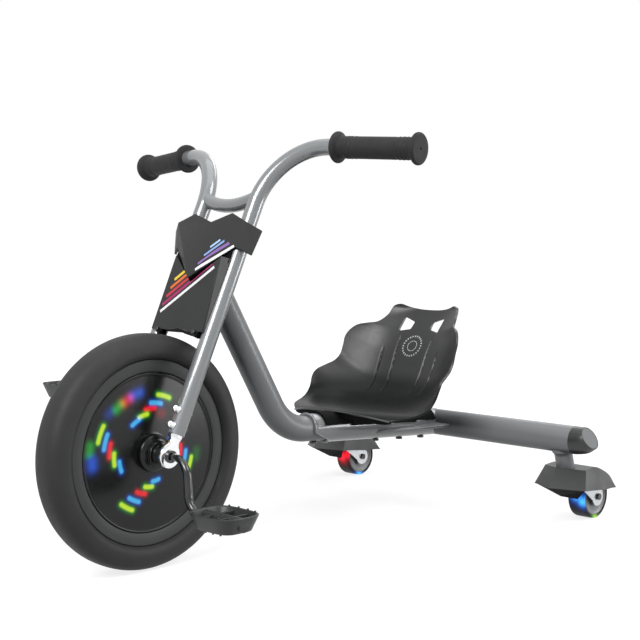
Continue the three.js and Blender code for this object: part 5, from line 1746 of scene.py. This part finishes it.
# The bars' colours, from the lowest up: on the panel, and on the cowl.
WARM = ("e9e9ea", "a21c5f", "c22a3e", "dc6a2a", "e8c63c")
COOL = ("f4f4f5", "8f6bb0", "8aa6dd", "a9c8ee")
PANEL_LOOK = StripedFinish("panel_satin", "satin_plastic", "131414", 0.44, specular=0.4, grain=0.035, grain_size=0.7,
                           stripes=slanted((80, 86, 96, 106, 116), (186, 184, 180, 176, 170), 172, 7.5, 4.2, WARM))
COWL_LOOK = StripedFinish("cowl_satin", "satin_plastic", "292a29", 0.5, specular=0.2, grain=0.035, grain_size=0.7,
                          stripes=slanted((158, 164, 176, 188), (221, 217, 212, 206), 186, 6.5, 3.4, COOL))


@dataclass
class Shield:
    """The folded panel and the cowl above it, with slanted bars on both.

    Each corner of the lower edge is X, distance forwards, height, and how far the lip runs back.
    """

    lip_wall: float = 1.8
    lip_lap: float = 0.2
    lip_slope: float = 0.35
    lower_edge: Table = (
        (0.0, 24.2, 233.4, 14.5), (38.0, 17.4, 265.4, 7.6), (59.0, 13.4, 283.0, 3.2), (66.0, 8.6, 281.4, 4.0),
        (78.0, 0.8, 279.0, 1.5))
    top_outline: Table = (
        (-36.0, 226.0), (36.0, 226.0), (56.0, 262.0), (54.0, 288.0), (-54.0, 288.0), (-56.0, 262.0))
    top_front: float = -13.6
    top_back: float = -11.6
    top_round: float = 0.3
    lip_points: int = 24

    def panel_top(self) -> Shape:
        """The plate that carries the panel on upwards, behind the cowl and in front of the legs."""
        return plate(np.array(self.top_outline), self.top_front, self.top_back, self.top_round, Axis.Y)

    def lip(self) -> Shape:
        """A turned-back edge below the cowl: its lower edge, carried backwards by a depth at each corner.

        Returns:
            The left half of the lip.
        """
        edge = curve_line(np.array(self.lower_edge), self.lip_points)
        outer = edge[:, :3] * [1, -1, 1]
        inner = outer + edge[:, 3:] * [0, 1, 0]
        rise, lap = np.array([-self.lip_slope, 0.0, self.lip_wall]), np.array([0.0, self.lip_lap, 0.0])
        return grid_shape(np.stack([outer + lap, inner, inner + rise, outer + rise + lap], 1))

    def build(self) -> None:
        """Dress the two folded sheets."""
        bevelled("shield_panel", PANEL_LOOK, Body.FORK, width=0.6)
        bevelled("shield_cowl", COWL_LOOK, Body.FORK, width=0.6)
        # The lips and the top plate take the painted shade finish for the shadow under and behind the cowl.
        for side in Side:
            add_piece(f"cowl_lip_{side.word}", self.lip().on_side(side).moved(FORK), Look.SHADED, Body.FORK)
        add_piece("panel_top", self.panel_top().moved(FORK), Look.SHADED, Body.FORK)


@dataclass(frozen=True)
class Spot:
    """One light seen on a caster wheel: its place about the axle, how far it spreads, and its colour."""

    place: tuple[float, float, float]
    spread: float
    light: Light
    level: float = 1.0


@dataclass
class Casters:
    """The two caster forks, their faceted fenders and glowing wheels.

    The fender's tables are X from the wheel's middle plane, distance behind the front axle, and height.
    """

    across: float = 246.0
    wheel_y: float = 668.0
    radius: float = 34.0
    width: float = 29.0
    tread: float = 5.0
    shoulder: float = 4.5
    shoulder_steps: int = 9
    core_side: Table = (
        (3.2, 14.3), (8.5, 14.3), (9.5, 12.6), (14, 11.8), (24, 12.6), (27.4, 14.0), (28.8, 13.6))
    core_round: float = 0.8
    core_sides: int = 96
    tyre_sides: int = 120
    tread_points: int = 10
    fender_wall: float = 2.4
    fender_crease: float = 14.0
    swell: float = 1.6
    swell_lift: float = 0.4
    ridge_top: Point = (0.0, 578.5, 88.8)
    ridge_foot: Point = (0.0, 559.0, 60.0)
    chin: Point = (15.0, 615.0, 37.0)
    chin_share: float = 0.97
    chin_under: Point = (0.0, 0.6, 0.1)
    chin_over: Point = (0.0, 1.6, 2.4)
    upper: Table = ((36, 604, 85), (33, 633, 86.6), (29, 668, 75), (25.5, 692, 62))
    lower: Table = ((45, 589, 57.3), (40, 637, 51.8), (33, 666, 47.4), (28, 690, 45.5))
    tail: Point = (23.5, 710, 43)
    stations: int = 39
    nose_stations: int = 4
    swell_stations: int = 8
    levels: int = 9
    least_reach: float = 6.0
    same_height: float = 0.01
    spots: dict[Side, tuple[Spot, ...]] = field(default_factory=lambda: {
        Side.LEFT: (Spot((1, -33, 4), 11, Light.BLUE, 1.5), Spot((11, -31, -4), 10, Light.BLUE, 1.6),
                    Spot((14, -2, -32), 9, Light.GREEN, 0.7)),
        Side.RIGHT: (Spot((0, -33, 2), 12, Light.RED, 1.5), Spot((11, -30, 6), 10, Light.RED, 1.6),
                     Spot((14, -4, -31), 10, Light.BLUE, 1.2)),
    })

    def glow(self, points: np.ndarray, side: Side) -> np.ndarray:
        """Each spot fades as a bell curve of the distance from its place.

        Args:
            points: array (n, 3) about the wheel's axle.
            side: the caster's side.

        Returns:
            Colours (n, 4) of the light at each point.
        """
        total = np.zeros((len(points), 3))
        for spot in self.spots[side]:
            away = np.linalg.norm(points - np.array(spot.place), axis=1) / spot.spread
            bright, dim = (np.array(colour) for colour in spot.light.value)
            share = np.exp(-(away**2))[:, None]
            total = np.maximum(total, (share**2.5 * bright + share * dim) * spot.level)
        return np.concatenate([total, np.ones((len(points), 1))], 1)

    def core(self) -> Shape:
        """A dished disc with a hub round the axle, inside the tyre."""
        half = rounded(self.core_side, self.core_round, closed=False)
        return turned(both_ways(half), Axis.X, self.core_sides)

    def fender(self) -> Shape:
        """A hood of wall stations: each is the lower edge, the upper edge, and their mirror images.

        The first station is the front ridge, with no width. Between the front corners and the tail the
        edges run smoothly through their tables. The inside is the outside moved towards a middle line.

        Returns:
            The hood, about the wheel's middle plane.
        """
        nose = self.nose_stations
        upper, lower = (curve_through(np.array([*table, self.tail]), self.stations + 1)[:-1]
                        for table in (self.upper, self.lower))
        blend = np.linspace(0, 1, nose + 1)[:-1, None]
        upper = np.concatenate([np.array(self.ridge_top) * (1 - blend) + upper[0] * blend, upper])
        lower = np.concatenate([np.array(self.ridge_foot) * (1 - blend) + lower[0] * blend, lower])
        share = np.linspace(0, 1, self.levels)[None, :, None]
        wall = lower[:, None] * (1 - share) + upper[:, None] * share
        grown = np.clip(np.arange(len(wall)) - nose, 0, self.swell_stations)[:, None, None] / self.swell_stations
        wall = wall + np.sin(np.pi * share) * self.swell * grown * [1, 0, self.swell_lift]
        across = np.linspace(1, -1, self.levels)[None, 1:-1, None]
        roof = upper[:, None] * np.concatenate([across, across * 0 + 1, across * 0 + 1], -1)
        outer = np.concatenate([wall, roof, (wall * MIRROR)[:, ::-1]], 1)
        middle = np.stack([0 * upper[:, 0], np.minimum(upper[:, 1], self.wheel_y), lower[:, 2]], -1)[:, None]
        away = outer - middle
        reach = np.maximum(np.linalg.norm(away, axis=-1, keepdims=True), self.least_reach)
        inner = outer - away / reach * self.fender_wall
        on_foot = np.abs(outer[..., 2] - lower[:, None, 2]) < self.same_height
        inner[..., 2] = np.where(on_foot, outer[..., 2], inner[..., 2])
        return grid_shape(np.concatenate([outer, inner[:, ::-1]], 1))

    def chin_plate(self) -> Shape:
        """A plate under the nose, from the front edges back to the chin, in the finish that paints the shade beneath
        the hood.

        Returns:
            The plate, about the wheel's middle plane.
        """
        side, chin = np.array(self.lower[0]) * [self.chin_share, 1, 1], np.array(self.chin)
        loop = np.stack([np.array(self.ridge_foot), side, chin, chin * MIRROR, side * MIRROR])
        return grid_shape(np.stack([loop + self.chin_under, loop + self.chin_over]))

    def tyre(self, side: Side) -> Shape:
        """A ring with well rounded shoulders, and a fine grid across its tread for the glow.

        Args:
            side: the caster's side.

        Returns:
            The ring, with the colour of the light at each point.
        """
        half, radius, inner = self.width / 2, self.radius, self.radius - self.tread
        corners = [[inner, -half], [radius, -half], [radius, half], [inner, half]]
        loop = rounded(corners, self.shoulder, steps=self.shoulder_steps)
        split = 2 * self.shoulder_steps
        flat = np.linspace(loop[split - 1], loop[split], self.tread_points)[1:-1]
        shape = turned(np.concatenate([loop[:split], flat, loop[split:]]), Axis.X, self.tyre_sides)
        shape.glow = self.glow(shape.points, side)
        return shape

    def build(self) -> None:
        """Make the wheels and dress the forks, axles and fenders."""
        bodies = {Side.LEFT: (Body.LEFT_CASTER, Body.LEFT_CASTER_WHEEL),
                  Side.RIGHT: (Body.RIGHT_CASTER, Body.RIGHT_CASTER_WHEEL)}
        for side, (body, wheel) in bodies.items():
            word, out = side.word, side.value * self.across
            place = Place((out, self.wheel_y + SHIFT.origin[1], self.radius))
            ring, hub = self.tyre(side).moved(place), self.core().moved(place)
            add_piece(f"caster_ring_{word}", ring, Look.CASTER_RUBBER, wheel, [f"caster_tyre_{word}"])
            add_piece(f"caster_hub_{word}", hub, Look.CASTER_CORE, wheel, [f"caster_core_{word}"])
            bevelled(f"caster_fork_{word}", Look.STEEL, body, width=0.6)
            bevelled(f"caster_axle_{word}", Look.BLACK_STEEL, body, width=0.5)
            hood, chin = self.fender().shifted(out).moved(SHIFT), self.chin_plate().shifted(out).moved(SHIFT)
            add_piece(f"fender_hood_{word}", hood, Look.SATIN, body, [f"caster_fender_{word}"], self.fender_crease)
            # The chin plate's near-black finish paints the shade under the hood.
            add_piece(f"fender_chin_{word}", chin, Look.SHADED, body)


# Studio


@dataclass(frozen=True)
class Lamp:
    """A soft rectangular lamp: where it stands, what it looks at, its width and height in metres, and its power."""

    name: str
    place: Point
    aim: Point
    size: tuple[float, float]
    watts: float


@dataclass
class Studio:
    """The camera, the surround, the lamps and the floor, in metres and radians."""

    place: tuple[float, float, float] = (1.2314, -1.2060, 0.4163)
    yaw: float = 0.7772
    pitch: float = 0.0614
    roll: float = 0.00385
    lens: float = 67.05
    sensor: float = 36.0
    clip: tuple[float, float] = (0.05, 60.0)
    surround: float = 0.25
    floor_half: float = 12.0
    floor_height: float = -0.0006
    glow_near: float = 0.7
    glow_far: float = 2.2
    glow_level: float = 0.80
    paper: tuple[str, str] = ("8c8c8c", "949494")
    paper_roughness: float = 0.9
    paper_grain: float = 600.0
    bounce: str = "646464"
    lamps: tuple[Lamp, ...] = (
        Lamp("front_box", (0.7, -2.6, 2.2), (0, -0.2, 0.35), (1.9, 1.3), 100),
        Lamp("right_box", (2.1, 1.1, 2.4), (0, 0.1, 0.25), (1.5, 1.3), 44),
        Lamp("top_box", (0.1, 0.2, 3.0), (0, 0, 0.2), (2.6, 2.6), 26),
        Lamp("back_box", (-0.7, 2.6, 2.1), (0, 0, 0.2), (2.2, 0.8), 16),
        Lamp("back_strip", (2.05, 2.05, 0.45), (0, -0.2, 0.2), (1.0, 0.9), 24),
    )

    def camera(self) -> None:
        """The photograph's view."""
        data = bpy.data.cameras.new("camera")
        data.lens, data.sensor_width = self.lens, self.sensor
        data.clip_start, data.clip_end = self.clip
        camera = bpy.data.objects.new("camera", data)
        turn = Matrix.Rotation(self.yaw, 4, "Z") @ Matrix.Rotation(math.pi / 2 - self.pitch, 4, "X")
        camera.matrix_world = Matrix.Translation(self.place) @ turn @ Matrix.Rotation(self.roll, 4, "Z")
        bpy.context.scene.collection.objects.link(camera)
        bpy.context.scene.camera = camera

    def seen_directly(self, tree: bpy.types.NodeTree) -> bpy.types.NodeSocket:
        """One for camera, glossy and transmission rays, and nought for the light on the object.

        Args:
            tree: the node tree to add to.

        Returns:
            The number for each ray.
        """
        path = tree.nodes.new("ShaderNodeLightPath")
        total = path.outputs["Is Camera Ray"]
        for name in ("Is Glossy Ray", "Is Transmission Ray"):
            both = tree.nodes.new("ShaderNodeMath")
            both.operation = "MAXIMUM"
            tree.links.new(total, both.inputs[0])
            tree.links.new(path.outputs[name], both.inputs[1])
            total = both.outputs[0]
        return total

    def world(self) -> None:
        """White where it is seen or mirrored, and softer for the light that it gives."""
        world = bpy.data.worlds.new("surround")
        bpy.context.scene.world = world
        world.use_nodes = True
        tree = world.node_tree
        background = tree.nodes["Background"]
        background.inputs["Color"].default_value = (1, 1, 1, 1)
        level = tree.nodes.new("ShaderNodeMapRange")
        level.inputs["To Min"].default_value, level.inputs["To Max"].default_value = self.surround, 1.0
        tree.links.new(self.seen_directly(tree), level.inputs["Value"])
        tree.links.new(level.outputs["Result"], background.inputs["Strength"])

    def light(self, lamp: Lamp) -> None:
        """Put up a lamp that shines along its own -Z: its X lies level, or along X if it looks straight down.

        Args:
            lamp: its place, aim, size and power.
        """
        data = bpy.data.lights.new(lamp.name, "AREA")
        data.shape, data.energy = "RECTANGLE", lamp.watts
        data.size, data.size_y = lamp.size
        heading = np.array(lamp.aim, float) - np.array(lamp.place, float)
        back = -heading / np.linalg.norm(heading)
        side = np.cross([0.0, 0.0, 1.0], back)
        side = side / np.linalg.norm(side) if np.linalg.norm(side) > 1e-6 else np.array([1.0, 0, 0])
        matrix = np.eye(4)
        matrix[:3, :3] = np.stack([side, np.cross(back, side), back], -1)
        matrix[:3, 3] = lamp.place
        box = bpy.data.objects.new(lamp.name, data)
        box.matrix_world = Matrix(matrix.tolist())
        bpy.context.scene.collection.objects.link(box)

    def floor(self) -> None:
        """A wide white sheet: seen, it is near white and keeps the shadow; as light on the object, it is grey."""
        mesh = bpy.data.meshes.new("floor_sheet")
        corners = [(x * self.floor_half, y * self.floor_half, self.floor_height)
                   for x, y in ((-1, -1), (1, -1), (1, 1), (-1, 1))]
        mesh.from_pydata(corners, [], [(0, 1, 2, 3)])
        sheet = bpy.data.objects.new("floor_sheet", mesh)
        bpy.context.scene.collection.objects.link(sheet)
        shader = Shader("floor_paper")
        grain = shader.spread(shader.noise(self.paper_grain, 2), 0, 1)
        paper = shader.blend(grain, *(linear(colour) for colour in self.paper))
        away = shader.add("VectorMath", {0: shader.place()}, operation="LENGTH").outputs["Value"]
        glow = shader.ramp(away, self.glow_near, self.glow_far, self.glow_level, 1.0)
        seen = self.seen_directly(shader.tree)
        shader.set("Base Color", shader.blend(seen, linear(self.bounce), paper))
        shader.set("Roughness", self.paper_roughness)
        shader.set("Specular IOR Level", 0.0)
        shader.set("Emission Color", (1, 1, 1, 1))
        shader.set("Emission Strength", shader.math("MULTIPLY", seen, glow))
        mesh.materials.append(shader.material)

    def build(self) -> None:
        """Set the stage."""
        bpy.context.scene.view_settings.view_transform = "Standard"
        self.camera()
        self.world()
        self.floor()
        for lamp in self.lamps:
            self.light(lamp)


def main() -> None:
    """Build the stage, then each sub-assembly in order."""
    logging.basicConfig(level=logging.INFO, format="%(name)s %(message)s")
    for part in (Studio(), FrontWheel(), Pedal(), Fork(), Shield(), MainFrame(), Seat(), Casters()):
        LOG.info("building %s", type(part).__name__)
        part.build()


if __name__ == "__main__":
    main()
